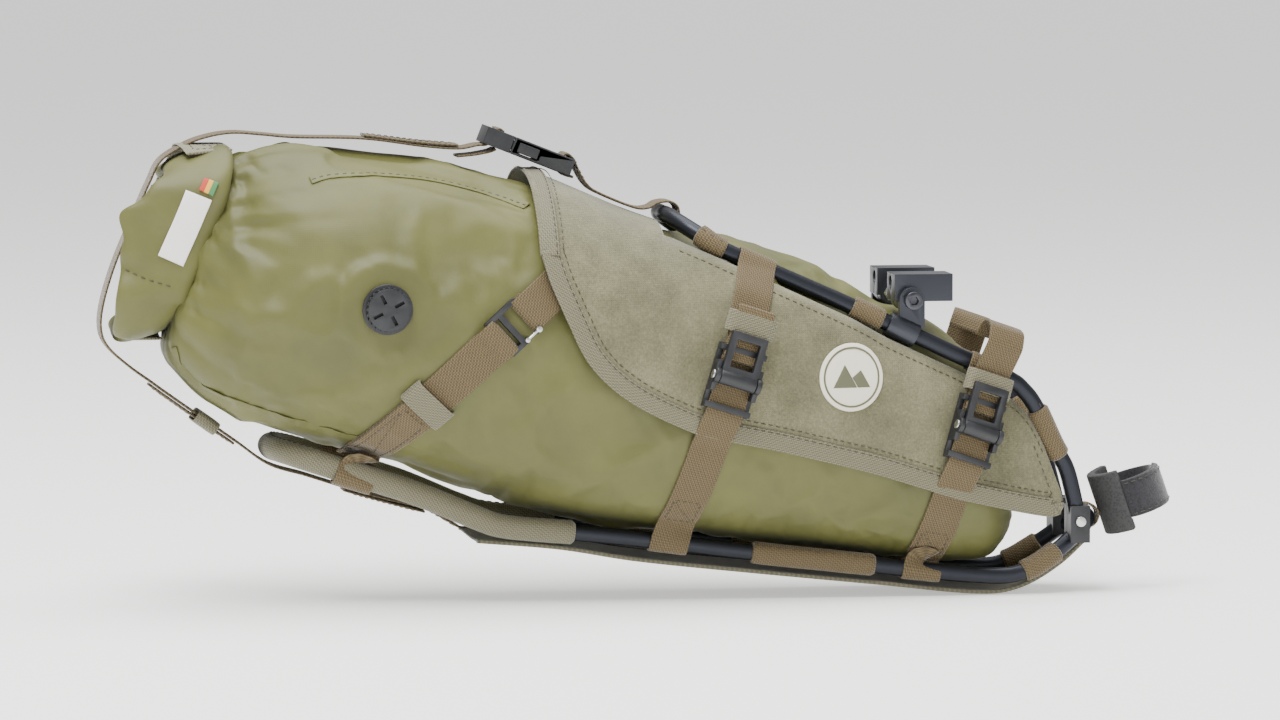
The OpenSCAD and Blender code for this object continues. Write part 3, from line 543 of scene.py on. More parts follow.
@dataclass(frozen=True)
class Webbing(Finish):
    """Woven polypropylene webbing: ribbed twill, with painted highlight on the high threads and painted shade in the
    furrows.
    """

    title: str = "woven_webbing"
    slot: str = "brown_webbing"
    # The ramp's stops: light is the painted highlight on the high threads, deep the painted shade in the furrows.
    light: str = "#7E6A43"
    mid: str = "#615132"
    deep: str = "#3F3521"
    rib: float = 1.2 * MM  # real ribs are about 0.9 mm; drawn coarser

    def pattern(self, tree: bpy.types.NodeTree, shader: bpy.types.Node) -> None:
        """Ribs across the strap, wales along it and a slanting twill between them; the colour follows their height as
        painted highlight and painted shade.
        """
        where = add(tree, "ShaderNodeUVMap", uv_map="surface").outputs["UV"]
        ribs = thread_wave(tree, where, self.rib, "Y")
        wales = thread_wave(tree, where, 1.1 * MM, "X")
        turned = add(tree, "ShaderNodeMapping", {"Vector": where, "Rotation": (0.0, 0.0, 0.62)}).outputs["Vector"]
        twill = thread_wave(tree, turned, 1.5 * MM, "X")
        fibre = noise(tree, where, 1500.0, 2.0)
        high = product(tree, ribs, wales)
        high = add(tree, "ShaderNodeMix", {"Factor": 0.3, "A": high, "B": twill}, data_type="FLOAT").outputs["Result"]
        painted_shade_and_fibre = add(tree, "ShaderNodeMix", {"Factor": 0.25, "A": high, "B": fibre}, data_type="FLOAT").outputs["Result"]
        # Painted highlight and shade: the colour is lighter on the high threads and darker in the furrows, with random
        # fibre tone mixed in.
        colour = ramp(tree, painted_shade_and_fibre, [(0.15, self.deep), (0.45, self.mid), (0.85, self.light)])
        normal = bump(tree, high, 0.35 * MM, 0.8)
        normal = bump(tree, fibre, 0.08 * MM, 0.5, normal)
        self.fill(shader, tree, Base_Color=colour, Roughness=0.72, Normal=normal, Sheen_Weight=0.3,
                  Sheen_Roughness=0.35)


@dataclass(frozen=True)
class RibbedTape(Webbing):
    """Grosgrain tape and elastic: close cross ribs of dull olive polyester."""

    title: str = "grosgrain_tape"
    slot: str = "ribbed_tape"
    light: str = "#8B866C"
    mid: str = "#716D56"
    deep: str = "#524F3D"
    rib: float = 1.0 * MM


@dataclass(frozen=True)
class Thread(Finish):
    """Bonded polyester sewing thread: dark, slightly glossy."""

    title: str = "bonded_thread"
    slot: str = "ribbed_tape"
    colour: str = "#3B382B"

    def pattern(self, tree: bpy.types.NodeTree, shader: bpy.types.Node) -> None:
        """The thread's twist as a fine slanting wave."""
        where = place_on(tree)
        turned = add(tree, "ShaderNodeMapping", {"Vector": where, "Rotation": (0.5, 0.7, 0.4)}).outputs["Vector"]
        twist = thread_wave(tree, turned, 0.8 * MM, "X")
        normal = bump(tree, twist, 0.1 * MM, 0.5)
        self.fill(shader, tree, Base_Color=srgb(self.colour), Roughness=0.5, Normal=normal)


@dataclass(frozen=True)
class AnodisedTube(Finish):
    """Bead-blasted, black anodised aluminium tube: even satin metal with a faint grain."""

    title: str = "black_anodised_aluminium"
    slot: str = "anodised_tube"
    colour: str = "#2A2C32"
    roughness: float = 0.36

    def pattern(self, tree: bpy.types.NodeTree, shader: bpy.types.Node) -> None:
        """Blasting grain and a slow change of gloss from handling."""
        where = place_on(tree)
        grain = noise(tree, where, 1400.0, 2.0)
        worn = noise(tree, where, 60.0, 5.0)
        rough = spread(tree, worn, self.roughness - 0.07, self.roughness + 0.09)
        self.fill(shader, tree, Base_Color=srgb(self.colour), Metallic=0.75, Roughness=rough,
                  Normal=bump(tree, grain, 0.03 * MM, 0.4))


@dataclass(frozen=True)
class MouldedNylon(Finish):
    """Injection-moulded glass-filled nylon: charcoal, spark-eroded texture, softly glossy edges."""

    title: str = "moulded_nylon"
    slot: str = "black_plastic"
    colour: str = "#131417"
    rubbed: str = "#1F2025"

    def pattern(self, tree: bpy.types.NodeTree, shader: bpy.types.Node) -> None:
        """Mould texture, with paler scuffed patches."""
        where = place_on(tree)
        erode = noise(tree, where, 1100.0, 3.0, Roughness=0.6)
        scuff = noise(tree, where, 140.0, 6.0)
        colour = ramp(tree, scuff, [(0.42, self.colour), (0.7, self.rubbed)])
        rough = spread(tree, scuff, 0.40, 0.54)
        self.fill(shader, tree, Base_Color=colour, Roughness=rough, Normal=bump(tree, erode, 0.05 * MM, 0.5), IOR=1.53)


@dataclass(frozen=True)
class Metal(Finish):
    """Bare or blackened steel, brushed along its length."""

    title: str = "stainless_steel"
    slot: str = "steel"
    colour: str = "#C9C9C8"
    roughness: float = 0.26

    def pattern(self, tree: bpy.types.NodeTree, shader: bpy.types.Node) -> None:
        """Fine drawn lines and faint handling marks."""
        where = place_on(tree)
        drawn = add(tree, "ShaderNodeMapping", {"Vector": where, "Scale": (1.0, 14.0, 14.0)}).outputs["Vector"]
        lines = noise(tree, drawn, 160.0, 4.0)
        rough = spread(tree, lines, self.roughness - 0.06, self.roughness + 0.1)
        self.fill(shader, tree, Base_Color=srgb(self.colour), Metallic=1.0, Roughness=rough,
                  Normal=bump(tree, lines, 0.02 * MM, 0.4))


@dataclass(frozen=True)
class Foam(Finish):
    """Closed-cell EVA foam: matt charcoal with an open-pored skin."""

    title: str = "eva_foam"
    slot: str = "foam"
    colour: str = "#3B3B3B"

    def pattern(self, tree: bpy.types.NodeTree, shader: bpy.types.Node) -> None:
        """Small cells that pit the surface, with painted shade in each pit."""
        where = place_on(tree)
        cells = add(tree, "ShaderNodeTexVoronoi", {"Vector": where, "Scale": 700.0}).outputs["Distance"]
        # Painted shade: the colour darkens towards each cell's middle, where the bump sinks the pit.
        colour = ramp(tree, cells, [(0.1, "#2C2C2C"), (0.6, self.colour)])
        self.fill(shader, tree, Base_Color=colour, Roughness=0.9, Normal=bump(tree, cells, 0.15 * MM, 0.7))


@dataclass(frozen=True)
class HookAndLoop(Finish):
    """Knitted loop tape: black, fuzzy, matt."""

    title: str = "loop_tape"
    slot: str = "hook_and_loop"

    def pattern(self, tree: bpy.types.NodeTree, shader: bpy.types.Node) -> None:
        """Tangled loops over a fine knit."""
        where = place_on(tree)
        fuzz = noise(tree, where, 650.0, 6.0, Distortion=1.5)
        colour = ramp(tree, fuzz, [(0.35, "#141316"), (0.75, "#2F2C33")])
        self.fill(shader, tree, Base_Color=colour, Roughness=0.95, Normal=bump(tree, fuzz, 0.4 * MM, 0.8),
                  Sheen_Weight=0.4)


@dataclass(frozen=True)
class Patch(Finish):
    """A plain applied mark: coated cloth or soft rubber in one colour with a fine tooth."""

    title: str = "cream_patch"
    slot: str = "patch"
    colour: str = "#E4DDC8"
    roughness: float = 0.7

    def pattern(self, tree: bpy.types.NodeTree, shader: bpy.types.Node) -> None:
        """Fine tooth and a little handling dirt."""
        where = place_on(tree)
        dirt = noise(tree, where, 110.0, 5.0)
        tooth = noise(tree, where, 1300.0, 2.0)
        rough = spread(tree, dirt, self.roughness - 0.08, self.roughness + 0.1)
        self.fill(shader, tree, Base_Color=srgb(self.colour), Roughness=rough, Normal=bump(tree, tooth, 0.06 * MM, 0.5))


def dress(piece: bpy.types.Object, finish: Finish, body: str, replaces: Sequence[str] = ()) -> bpy.types.Object:
    """Gives a piece its finish, its body and the CAD nodes it stands for."""
    piece.data.materials.clear()
    piece.data.materials.append(finish.material())
    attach(piece, body)
    if replaces:
        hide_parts(*replaces)
    return piece


def rounded_copy(node_name: str, finish: Finish, body: str, edge: float = 0.45 * MM,
                 steps: int = 2) -> bpy.types.Object:
    """A CAD solid with its sharp edges broken, standing for the node.

    The node's loose triangles are merged, flat areas dissolved, and a bevel rounds every
    edge sharper than 30 degrees.
    """
    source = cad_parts[node_name]
    piece = bpy.data.objects.new(node_name + "_finished", source.data.copy())
    bpy.context.scene.collection.objects.link(piece)
    same_place, same_plane = 0.02 * MM, 0.02  # metres apart, and radians between faces
    work = bmesh.new()
    work.from_mesh(piece.data)
    bmesh.ops.remove_doubles(work, verts=work.verts, dist=same_place)
    bmesh.ops.dissolve_limit(work, angle_limit=same_plane, verts=work.verts, edges=work.edges)
    bmesh.ops.recalc_face_normals(work, faces=work.faces)
    work.to_mesh(piece.data)
    work.free()
    piece.data.polygons.foreach_set("use_smooth", np.full(len(piece.data.polygons), True))
    bevel = piece.modifiers.new("edges", "BEVEL")
    bevel.width = edge
    bevel.segments = steps
    bevel.limit_method = "ANGLE"
    bevel.angle_limit = np.radians(30)
    bevel.use_clamp_overlap = True
    bevel.harden_normals = True
    return dress(piece, finish, body, [node_name])


# ---------------------------------------------------------------- the bag's form


@dataclass(frozen=True)
class BagShape:
    """The dry bag's form and the lines drawn on it, in millimetres, from rear to front."""

    fullness: float = 2.5
    top: tuple = ((-350, 171), (-324, 165), (-300, 157), (-270, 146), (-245, 138), (-208, 133), (-171, 119),
                  (-141, 103), (-106, 87), (-93, 80), (-72, 70), (-40, 40))
    bottom: tuple = ((-350, 11), (-324, 2), (-300, -5), (-261, -12), (-208, -18), (-171, -23), (-141, -27),
                     (-106, -32), (-72, -34), (-40, -28))
    width: tuple = ((-350, 77), (-324, 76), (-261, 70), (-208, 63), (-171, 57), (-141, 51), (-106, 44),
                    (-93, 41), (-72, 36), (-57, 32), (-40, 26))
    proud: tuple = ((-320, 7), (-282, 5), (-245, 3), (-100, 2.5))
    low_edge: tuple = ((-319, 132), (-315, 118), (-310, 106), (-306, 97), (-295, 76), (-275, 58), (-243, 42),
                       (-221, 36), (-193, 30), (-150, 19), (-118, 9), (-95, 2), (-48, -8), (-43, -2))
    high_edge: tuple = ((-319, 160), (-280, 148), (-245, 135), (-224, 126), (-156, 95), (-136, 84), (-99, 67),
                        (-73, 54), (-62, 44), (-54, 29), (-48, 14), (-43, 2))
    # Leaning sections as top x and z, bottom x and z, and half width
    rear: tuple = ((-462, 178, -499, 72, 46), (-449, 182, -480, 54, 61), (-428, 184, -450, 41, 72),
                   (-400, 182, -402, 28, 77))
    upright: tuple = (-350, -324, -300, -270, -245, -226, -208, -190, -171, -156, -141, -124, -106)
    front: tuple = ((-92, 78, -84, -33, 38), (-91, 73, -72, -28, 31), (-88, 62, -64, -15, 20),
                    (-83, 50, -63, -4, 10), (-78, 36, -66, 12, 3))

    @staticmethod
    def at(table: Sequence, x: np.ndarray) -> np.ndarray:
        """A line's height or width at x."""
        t = np.asarray(table, float)
        return np.interp(x, t[:, 0], t[:, 1])

    def skin(self, x: np.ndarray, z: np.ndarray, off: np.ndarray) -> np.ndarray:
        """Half width of the body at height z, grown by off."""
        high, low = self.at(self.top, x), self.at(self.bottom, x)
        share = np.minimum(1, np.abs(z - (high + low) / 2) / ((high - low) / 2 + off))
        return (self.at(self.width, x) + off) * (1 - share**self.fullness) ** (1 / self.fullness)

    def crown(self, x: np.ndarray, y: np.ndarray, off: np.ndarray) -> np.ndarray:
        """Height of the body's upper side at half width y, grown by off."""
        high, low = self.at(self.top, x), self.at(self.bottom, x)
        share = np.minimum(1, np.abs(y) / (self.at(self.width, x) + off))
        return (high + low) / 2 + ((high - low) / 2 + off) * (1 - share**self.fullness) ** (1 / self.fullness)

    def stations(self) -> np.ndarray:
        """All sections in one table."""
        mid = [(x, self.at(self.top, x), x, self.at(self.bottom, x), self.at(self.width, x)) for x in self.upright]
        return np.array([*self.rear, *mid, *self.front], float)

    def ring(self, station: np.ndarray, around: int) -> np.ndarray:
        """One section's points: a superellipse in a leaning plane, from the left side over the top."""
        a = np.linspace(0, 2 * np.pi, around, endpoint=False)
        h = (power(np.sin(a), 2 / self.fullness) + 1) / 2
        tx, tz, bx, bz, w = station
        return np.stack([bx + (tx - bx) * h, w * power(np.cos(a), 2 / self.fullness), bz + (tz - bz) * h], axis=1)


SHAPE = BagShape()
# The roll's middle line round the mouth, in millimetres, from the upper end to the lower one
ROLL_LINE = ((-484, 22, 174), (-484, 8, 177), (-484, -12, 177), (-485, -27, 173), (-489, -36, 162), (-498, -36, 141),
             (-506, -36, 122), (-511, -36, 110), (-513, -28, 99), (-513, -14, 93), (-513, 8, 92), (-513, 22, 95))
ROLL_FLAT = np.array([0.958, 0.0, 0.287])  # the direction across the flat roll
UPPER_HALF = ((-34, -7, 25), (-36, 2, 26), (-40, 16, 27), (-47, 28, 29), (-57, 48, 32), (-64, 57, 34), (-72, 63, 35),
              (-98, 75, 37), (-117, 84, 38), (-156, 102, 38), (-174, 110, 38), (-219, 130, 38), (-232, 138, 35),
              (-241, 144, 26), (-245, 147, 14), (-245, 147, 0))
LOWER_HALF = ((-24, -11, 0), (-26, -13, 11), (-32, -18, 18), (-41, -25, 22), (-50, -31, 24), (-59, -36, 25),
              (-70, -39, 26), (-92, -38, 27), (-135, -33, 29), (-208, -24, 32), (-251, -18, 34), (-292, -13, 36),
              (-331, -9, 37), (-347, -4, 38), (-373, 7, 39), (-399, 16, 39), (-424, 24, 37), (-437, 28, 30),
              (-445, 30, 18), (-447, 30, 0))
TUBE_R = 4.25 * MM
WEB_W = 20 * MM
WEB_T = 1.4 * MM
WEB_LIFT = 0.9  # the webbing's middle above the cloth, in millimetres
WRAP_R = TUBE_R + 0.55 * MM + WEB_T / 2  # the webbing's middle round a tube
KEEPER_W = 25 * MM
HOOD_END = -251.0
# Straps in the side view, in millimetres: x and z of one end, then of the other
REAR_STRAP = ((-204, 123), (-248, -18))
FRONT_STRAP = ((-84, 69), (-116, -35))
DIAGONAL = ((-412, 24), (-316, 112))


def right_half(table: Sequence) -> np.ndarray:
    """A tube's right half in metres from its rows of x, z and half spacing."""
    return np.array([(x, -y, z) for x, z, y in table], float) * MM


def both_halves(table: Sequence, closed: bool) -> np.ndarray:
    """A tube's whole middle line, smoothed through its bends."""
    right = right_half(table)
    left = mirrored(right)[::-1]
    line = np.vstack([right, left[1:-1]]) if closed else np.vstack([right, left[1:]])
    return spline(line, 420, closed)


UPPER_LINE = both_halves(UPPER_HALF, False)
LOWER_LINE = both_halves(LOWER_HALF, True)
TUBE_LINES = np.vstack([UPPER_LINE, LOWER_LINE])


def points_of(piece: bpy.types.Object) -> np.ndarray:
    """A mesh's points as an array."""
    out = np.zeros(len(piece.data.vertices) * 3)
    piece.data.vertices.foreach_get("co", out)
    return out.reshape(-1, 3)


def move_points(piece: bpy.types.Object, points: np.ndarray) -> None:
    """Writes a mesh's points."""
    piece.data.vertices.foreach_set("co", np.ascontiguousarray(points, float).ravel())
    piece.data.update()


def normals_of(piece: bpy.types.Object) -> np.ndarray:
    """A mesh's point normals."""
    out = np.zeros(len(piece.data.vertices) * 3)
    piece.data.vertices.foreach_get("normal", out)
    return out.reshape(-1, 3)


def nearest(points: np.ndarray, line: np.ndarray) -> tuple[np.ndarray, np.ndarray]:
    """Distance from each point to a dense line, and the line's nearest point."""
    best = np.full(len(points), 1e9)
    where = np.zeros((len(points), 3))
    for part in np.array_split(line, max(1, len(line) // 60)):
        gap = np.linalg.norm(points[:, None] - part[None], axis=2)
        pick = gap.argmin(axis=1)
        better = gap[np.arange(len(points)), pick] < best
        best[better] = gap[np.arange(len(points)), pick][better]
        where[better] = part[pick][better]
    return best, where


def settle(piece: bpy.types.Object, held: np.ndarray, pressure: float, slack: float, cap: float,
           frames: int = 20) -> None:
    """Blows a soft piece up by cloth simulation, then keeps the capped result in its mesh.

    Args:
        piece: the mesh, whose edges are the cloth's threads.
        held: how firmly each point is pinned, 0 to 1.
        pressure: the air's pressure in the simulation's units.
        slack: how much longer the fabric is than the mesh, which makes it fold.
        cap: the most that a point may move, in metres.
        frames: how many steps are run.
    """
    before = points_of(piece)
    group = piece.vertex_groups.new(name="held")
    for level in range(1, 11):
        chosen = np.nonzero(np.round(held * 10) == level)[0].tolist()
        if chosen:
            group.add(chosen, level / 10, "REPLACE")
    cloth = piece.modifiers.new("settle", "CLOTH")
    setting = cloth.settings
    setting.quality = 6
    setting.mass = 0.25
    setting.tension_stiffness = setting.compression_stiffness = 14.0
    setting.shear_stiffness = 4.0
    setting.bending_stiffness = 0.35
    setting.use_pressure = True
    setting.uniform_pressure_force = pressure
    setting.vertex_group_mass = "held"
    setting.shrink_min = -slack
    setting.effector_weights.gravity = 0.0
    cloth.collision_settings.use_collision = False
    cloth.point_cache.frame_start = 1
    cloth.point_cache.frame_end = frames
    for step in range(1, frames + 1):
        bpy.context.scene.frame_set(step)
    seen = piece.evaluated_get(bpy.context.evaluated_depsgraph_get())
    after = np.zeros(before.size)
    seen.data.vertices.foreach_get("co", after)
    shift = after.reshape(-1, 3) - before
    length = np.maximum(np.linalg.norm(shift, axis=1, keepdims=True), 1e-9)
    piece.modifiers.remove(cloth)
    piece.vertex_groups.remove(group)
    bpy.context.scene.frame_set(1)
    move_points(piece, before + shift / length * cap * np.tanh(length / cap))
    LOG.info("%s settled: largest move %.1f mm", piece.name, length.max() / MM)


@dataclass(frozen=True)
class Crease:
    """A fold in the cloth, drawn in the side view in millimetres: ends, height and half width."""

    start: tuple
    end: tuple
    height: float
    wide: float = 4.0
    side: Side = Side.RIGHT

    def lift(self, points: np.ndarray) -> np.ndarray:
        """Height of the fold in metres at points in metres: a ridge beside a furrow."""
        a, b = np.array(self.start) * MM, np.array(self.end) * MM
        run = b - a
        rel = points[:, [0, 2]] - a
        along = (rel @ run) / (run @ run)
        bow = 3 * MM * np.sin(np.pi * np.clip(along, 0, 1))
        off = (rel @ np.array([-run[1], run[0]])) / np.linalg.norm(run) - bow
        wide = self.wide * MM * (0.55 + 0.75 * np.clip(along, 0, 1))
        fade = np.clip(along + 0.08, 0, 1) ** 0.35 * np.clip(1.05 - along, 0, 1) ** 1.1
        fade = fade * (along > -0.08) * (along < 1.05)
        shape = np.exp(-((off / wide) ** 2)) - 0.75 * np.exp(-(((off - 1.7 * wide) / wide) ** 2))
        return self.height * MM * shape * fade * (points[:, 1] * self.side.value > -4 * MM)


@dataclass
class DryBag:
    """The stuffed dry bag: a leaning loft whose mouth is flattened and bent into the roll."""

    shape: BagShape = SHAPE
    rings: int = 132
    around: int = 136
    mouth_rings: int = 24
    flap: float = 11.0  # how far in front of the roll's middle line the mouth starts
    valve_at: tuple = (-397.0, 105.0)
    weld_r: float = 22.0
    strap_lines: tuple = (REAR_STRAP, FRONT_STRAP, DIAGONAL)
    creases: tuple = (
        Crease((-479, 150), (-436, 172), 1.7, 5.0), Crease((-480, 146), (-424, 160), 1.5, 4.0),
        Crease((-481, 141), (-432, 146), 1.3, 4.0), Crease((-482, 137), (-444, 130), 1.1, 3.5),
        Crease((-478, 155), (-452, 180), 1.3, 4.0), Crease((-492, 121), (-478, 78), 1.7, 4.5),
        Crease((-489, 124), (-462, 70), 1.5, 5.0), Crease((-487, 127), (-450, 84), 1.2, 4.5),
        Crease((-494, 117), (-492, 82), 1.2, 3.5), Crease((-484, 132), (-452, 112), 0.9, 4.0),
        Crease((-483, 142), (-457, 92), 1.7, 3.2), Crease((-480, 149), (-428, 134), 1.3, 4.5),
        Crease((-478, 152), (-440, 150), 1.5, 3.2), Crease((-490, 128), (-474, 92), 1.4, 3.0),
        Crease((-420, 180), (-352, 165), 0.9, 5.0), Crease((-320, 116), (-352, 148), 0.9, 5.5),
        Crease((-330, 120), (-372, 160), 0.7, 6.0), Crease((-402, 40), (-452, 60), 0.9, 5.0),
        Crease((-398, 44), (-436, 84), 0.7, 5.5), Crease((-252, 6), (-300, 24), 0.8, 5.0),
        Crease((-248, -6), (-312, 2), 0.9, 4.5), Crease((-236, 0), (-182, -2), 0.7, 4.5),
        Crease((-120, -22), (-160, -10), 0.9, 4.0), Crease((-118, -14), (-170, -2), 0.7, 4.5),
        Crease((-62, -8), (-84, -4), 1.3, 2.6), Crease((-61, -12), (-88, -11), 1.3, 2.6),
        Crease((-63, -17), (-92, -18), 1.2, 2.8), Crease((-66, -23), (-96, -25), 1.0, 2.8),
        Crease((-480, 148), (-440, 160), 1.9, 6.0, Side.LEFT), Crease((-484, 138), (-436, 132), 1.7, 6.0, Side.LEFT),
        Crease((-490, 120), (-456, 92), 1.8, 6.0, Side.LEFT), Crease((-494, 112), (-474, 74), 1.6, 5.0, Side.LEFT),
        Crease((-402, 40), (-446, 66), 0.9, 5.0, Side.LEFT), Crease((-320, 116), (-356, 150), 0.9, 5.5, Side.LEFT),
        Crease((-250, 0), (-306, 14), 0.8, 5.0, Side.LEFT), Crease((-62, -12), (-90, -14), 1.2, 3.0, Side.LEFT))

    def mouth(self) -> np.ndarray:
        """The flattened mouth as a thin band round the inside of the roll, in millimetres."""
        half = self.around // 2
        line = spline(ROLL_LINE, half + 1) + ROLL_FLAT * self.flap
        inward = unit(np.cross(tangents(line), ROLL_FLAT))
        inward *= np.sign(inward[half // 2, 1])
        near, far = line - inward * 0.9, line + inward * 0.9
        ring = np.vstack([near[:half], far[::-1][:half]])  # down on the near side, then back up on the far one
        return np.roll(ring, self.around // 4, axis=0)

    def grid(self) -> np.ndarray:
        """Rings from the mouth to the front end, in metres."""
        body = np.array([self.shape.ring(s, self.around) for s in spline(self.shape.stations(), self.rings)])
        start, lead = self.mouth(), np.array([26.0, 0.0, 8.0])
        leave = unit(body[0] - body[1]) * -46.0
        t = np.linspace(0, 1, self.mouth_rings, endpoint=False)[:, None, None]
        h1, h2 = 2 * t**3 - 3 * t**2 + 1, t**3 - 2 * t**2 + t
        h3, h4 = -2 * t**3 + 3 * t**2, t**3 - t**2
        neck = h1 * start + h2 * lead + h3 * body[0] + h4 * leave
        return np.vstack([neck, body]) * MM

    def skinned(self) -> bpy.types.Object:
        """The mesh with its ends closed by fans."""
        grid = self.grid()
        n, m = grid.shape[:2]
        points = np.vstack([grid.reshape(-1, 3), grid[0].mean(0)[None], grid[-1].mean(0)[None]])
        faces = grid_faces(n, m, False, True).tolist()
        k = n * m
        faces += [[(j + 1) % m, j, k] for j in range(m)]
        faces += [[(n - 1) * m + j, (n - 1) * m + (j + 1) % m, k + 1] for j in range(m)]
        return face_outwards(make_piece("drybag_shell", points, faces))

    def under_straps(self, p: np.ndarray) -> np.ndarray:
        """How far points lie under the straps, from 0 beside them to 1 below their middle."""
        most = np.zeros(len(p))
        for a, b in self.strap_lines:
            a, b = np.array(a) * MM, np.array(b) * MM
            rel = p[:, [0, 2]] - a
            share = np.clip(rel @ (b - a) / ((b - a) @ (b - a)), -0.05, 1.05)[:, None]
            gap = np.linalg.norm(rel - share * (b - a), axis=1)
            most = np.maximum(most, smooth_step((17 * MM - gap) / (8 * MM)))
        return most * (np.abs(p[:, 1]) > 8 * MM)

    def under_canvas(self, p: np.ndarray) -> np.ndarray:
        """Which points lie under the canvas panels or the hood."""
        x, z = p[:, 0] / MM, p[:, 2] / MM
        low, high = self.shape.at(self.shape.low_edge, x), self.shape.at(self.shape.high_edge, x)
        return (x > -318) & (x < -44) & (z > low - 2) & ((z < high) | (x < HOOD_END))

    def from_valve(self, p: np.ndarray) -> np.ndarray:
        """Distance in millimetres from the valve's middle, in the side view."""
        return np.hypot(p[:, 0] / MM - self.valve_at[0], p[:, 2] / MM - self.valve_at[1])

    def build(self) -> bpy.types.Object:
        """The bag, settled, folded and pressed in by the tubes that hold it."""
        piece = self.skinned()
        p = points_of(piece)
        gap, _ = nearest(p, TUBE_LINES)
        held = np.clip(1.5 - gap / (14 * MM), 0, 1)
        held = np.maximum(held, self.under_canvas(p))
        held = np.maximum(held, np.clip((-468 * MM - p[:, 0]) / (10 * MM), 0, 1))
        held = np.maximum(held, p[:, 0] > -96 * MM)
        held = np.maximum(held, (self.from_valve(p) < 24) & (p[:, 1] < 0))
        held = np.maximum(held, self.under_straps(p))
        settle(piece, held, 3.0, 0.035, 4.5 * MM)
        self.fold(piece)
        fine = piece.modifiers.new("smooth", "SUBSURF")
        fine.levels = fine.render_levels = 1
        return dress(piece, CoatedFabric(), ROOT, ["drybag"])

    def seams(self) -> None:
        """The sewn seam below the bag's top and the welded one round its rear end."""
        top = ((-432, 168), (-420, 170.5), (-395, 170.5), (-365, 166.5), (-338, 159.5), (-322, 154))
        low = ((-499, 84), (-496, 75), (-488, 66), (-472, 58), (-450, 50), (-420, 41), (-392, 34))
        rows = []
        for name, run in (("top_seam", top), ("rear_seam", low)):
            for side in Side:
                path, normal = DRAPE.lay(run, 0.35 * MM, 120, 2)
                tape = ribbon(f"{name}_{side.word}", sided(path, side), sided(normal, side), 5 * MM, 0.7 * MM)
                dress(tape, CoatedFabric(), ROOT)
                if name == "top_seam":
                    rows.append((sided(path, side), sided(normal, side), 2.2 * MM, 1.8 * MM, 0.9 * MM))
        stitches("bag_stitching", rows)

    def fold(self, piece: bpy.types.Object) -> None:
        """Adds the creases, the welded ring round the valve and the tubes' dents."""
        p, n = points_of(piece), normals_of(piece)
        lift = sum(c.lift(p) for c in self.creases) * 1.7
        loose = 1 - self.under_canvas(p)
        slow = waves(p, 11, 95 * MM) * 0.7 * MM + waves(p * np.array([1, 1, 2.2]), 12, 38 * MM) * 0.28 * MM
        valve = self.from_valve(p)
        calm = np.where(p[:, 1] < 0, np.clip((valve - 20) / 30, 0, 1), 1)
        # Gathers that run forward from the flattened mouth, dying out along the bag
        reach = np.clip(1 - (p[:, 0] / MM + 497 - 0.34 * (p[:, 2] / MM - 92)) / 84, 0, 1)
        reach = reach * np.clip((p[:, 0] / MM + 508) / 16, 0, 1)
        turn = np.arctan2(p[:, 2] / MM - 130, p[:, 1] / MM)
        gathers = (1 - np.abs(np.sin(9.5 * turn + 1.1 * np.sin(3 * turn) + 0.5 * np.sin(7 * turn)))) ** 1.6 - 0.35
        shift = (lift + slow * calm) * loose + gathers * reach**1.5 * 3.0 * MM
        ring = 0.55 * smooth_step((self.weld_r - valve) / 2.0 + 0.5)
        ring += 0.9 * np.exp(-(((valve - 28) / 2.6) ** 2)) - 0.6 * np.exp(-(((valve - 23.5) / 2.2) ** 2))
        shift += (p[:, 1] < -60 * MM) * MM * ring
        pressed = self.under_straps(p)
        p = p + n * (shift * (1 - 0.8 * pressed) - 1.0 * MM * pressed)[:, None]
        gap, where = nearest(p, TUBE_LINES)
        away = unit(p - where)
        reach = 7.0 * MM
        close = np.clip((reach + 5 * MM - gap) / (reach + 5 * MM), 0, 1)
        inward = where + away * np.maximum(gap, reach * (0.97 + 0.03 * close))[:, None]
        move_points(piece, np.where((gap < reach)[:, None], inward, p))


class Drape:
    """Finds where straps and tapes lie on the bag and the canvas, by looking across the bicycle."""

    def __init__(self) -> None:
        self.layers: list[tuple] = []

    def add(self, piece: bpy.types.Object, thick: float = 0.0) -> None:
        """Adds a layer that later pieces lie on, with what its modifiers add outside its mesh."""
        faces = [tuple(f.vertices) for f in piece.data.polygons]
        self.layers.append((BVHTree.FromPolygons(points_of(piece).tolist(), faces), thick))

    def at(self, x: float, z: float, off: float) -> tuple[np.ndarray, np.ndarray]:
        """The outermost place on the right side at x and z, in metres, raised by off, and its normal."""
        best = None
        for tree, thick in self.layers:
            hit, normal, _, _ = tree.ray_cast(Vector((x, -0.3, z)), Vector((0, 1, 0)))
            if hit is None:
                continue
            normal = -normal if normal.y > 0 else normal
            place = hit + normal * thick
            if best is None or place.y < best[0].y:
                best = (place, normal)
        if best is None:
            raise ValueError(f"nothing lies at x {x:.3f}, z {z:.3f}")
        return np.array(best[0]) + np.array(best[1]) * off, np.array(best[1])

    def lay(self, line: Sequence, off: float, count: int = 80, blur: int = 3) -> tuple[np.ndarray, np.ndarray]:
        """A path and its normals along a line of (x, z) in millimetres, lying off above the surface."""
        flat = spline(line, count) * MM
        found = [self.at(x, z, off) for x, z in flat]
        path, normal = (np.array([f[k] for f in found]) for k in (0, 1))
        for _ in range(blur):
            path[1:-1] = (path[:-2] + 2 * path[1:-1] + path[2:]) / 4
            normal[1:-1] = unit(normal[:-2] + 2 * normal[1:-1] + normal[2:])
        return path, unit(normal)


DRAPE = Drape()


# ---------------------------------------------------------------- canvas, tapes and tubes


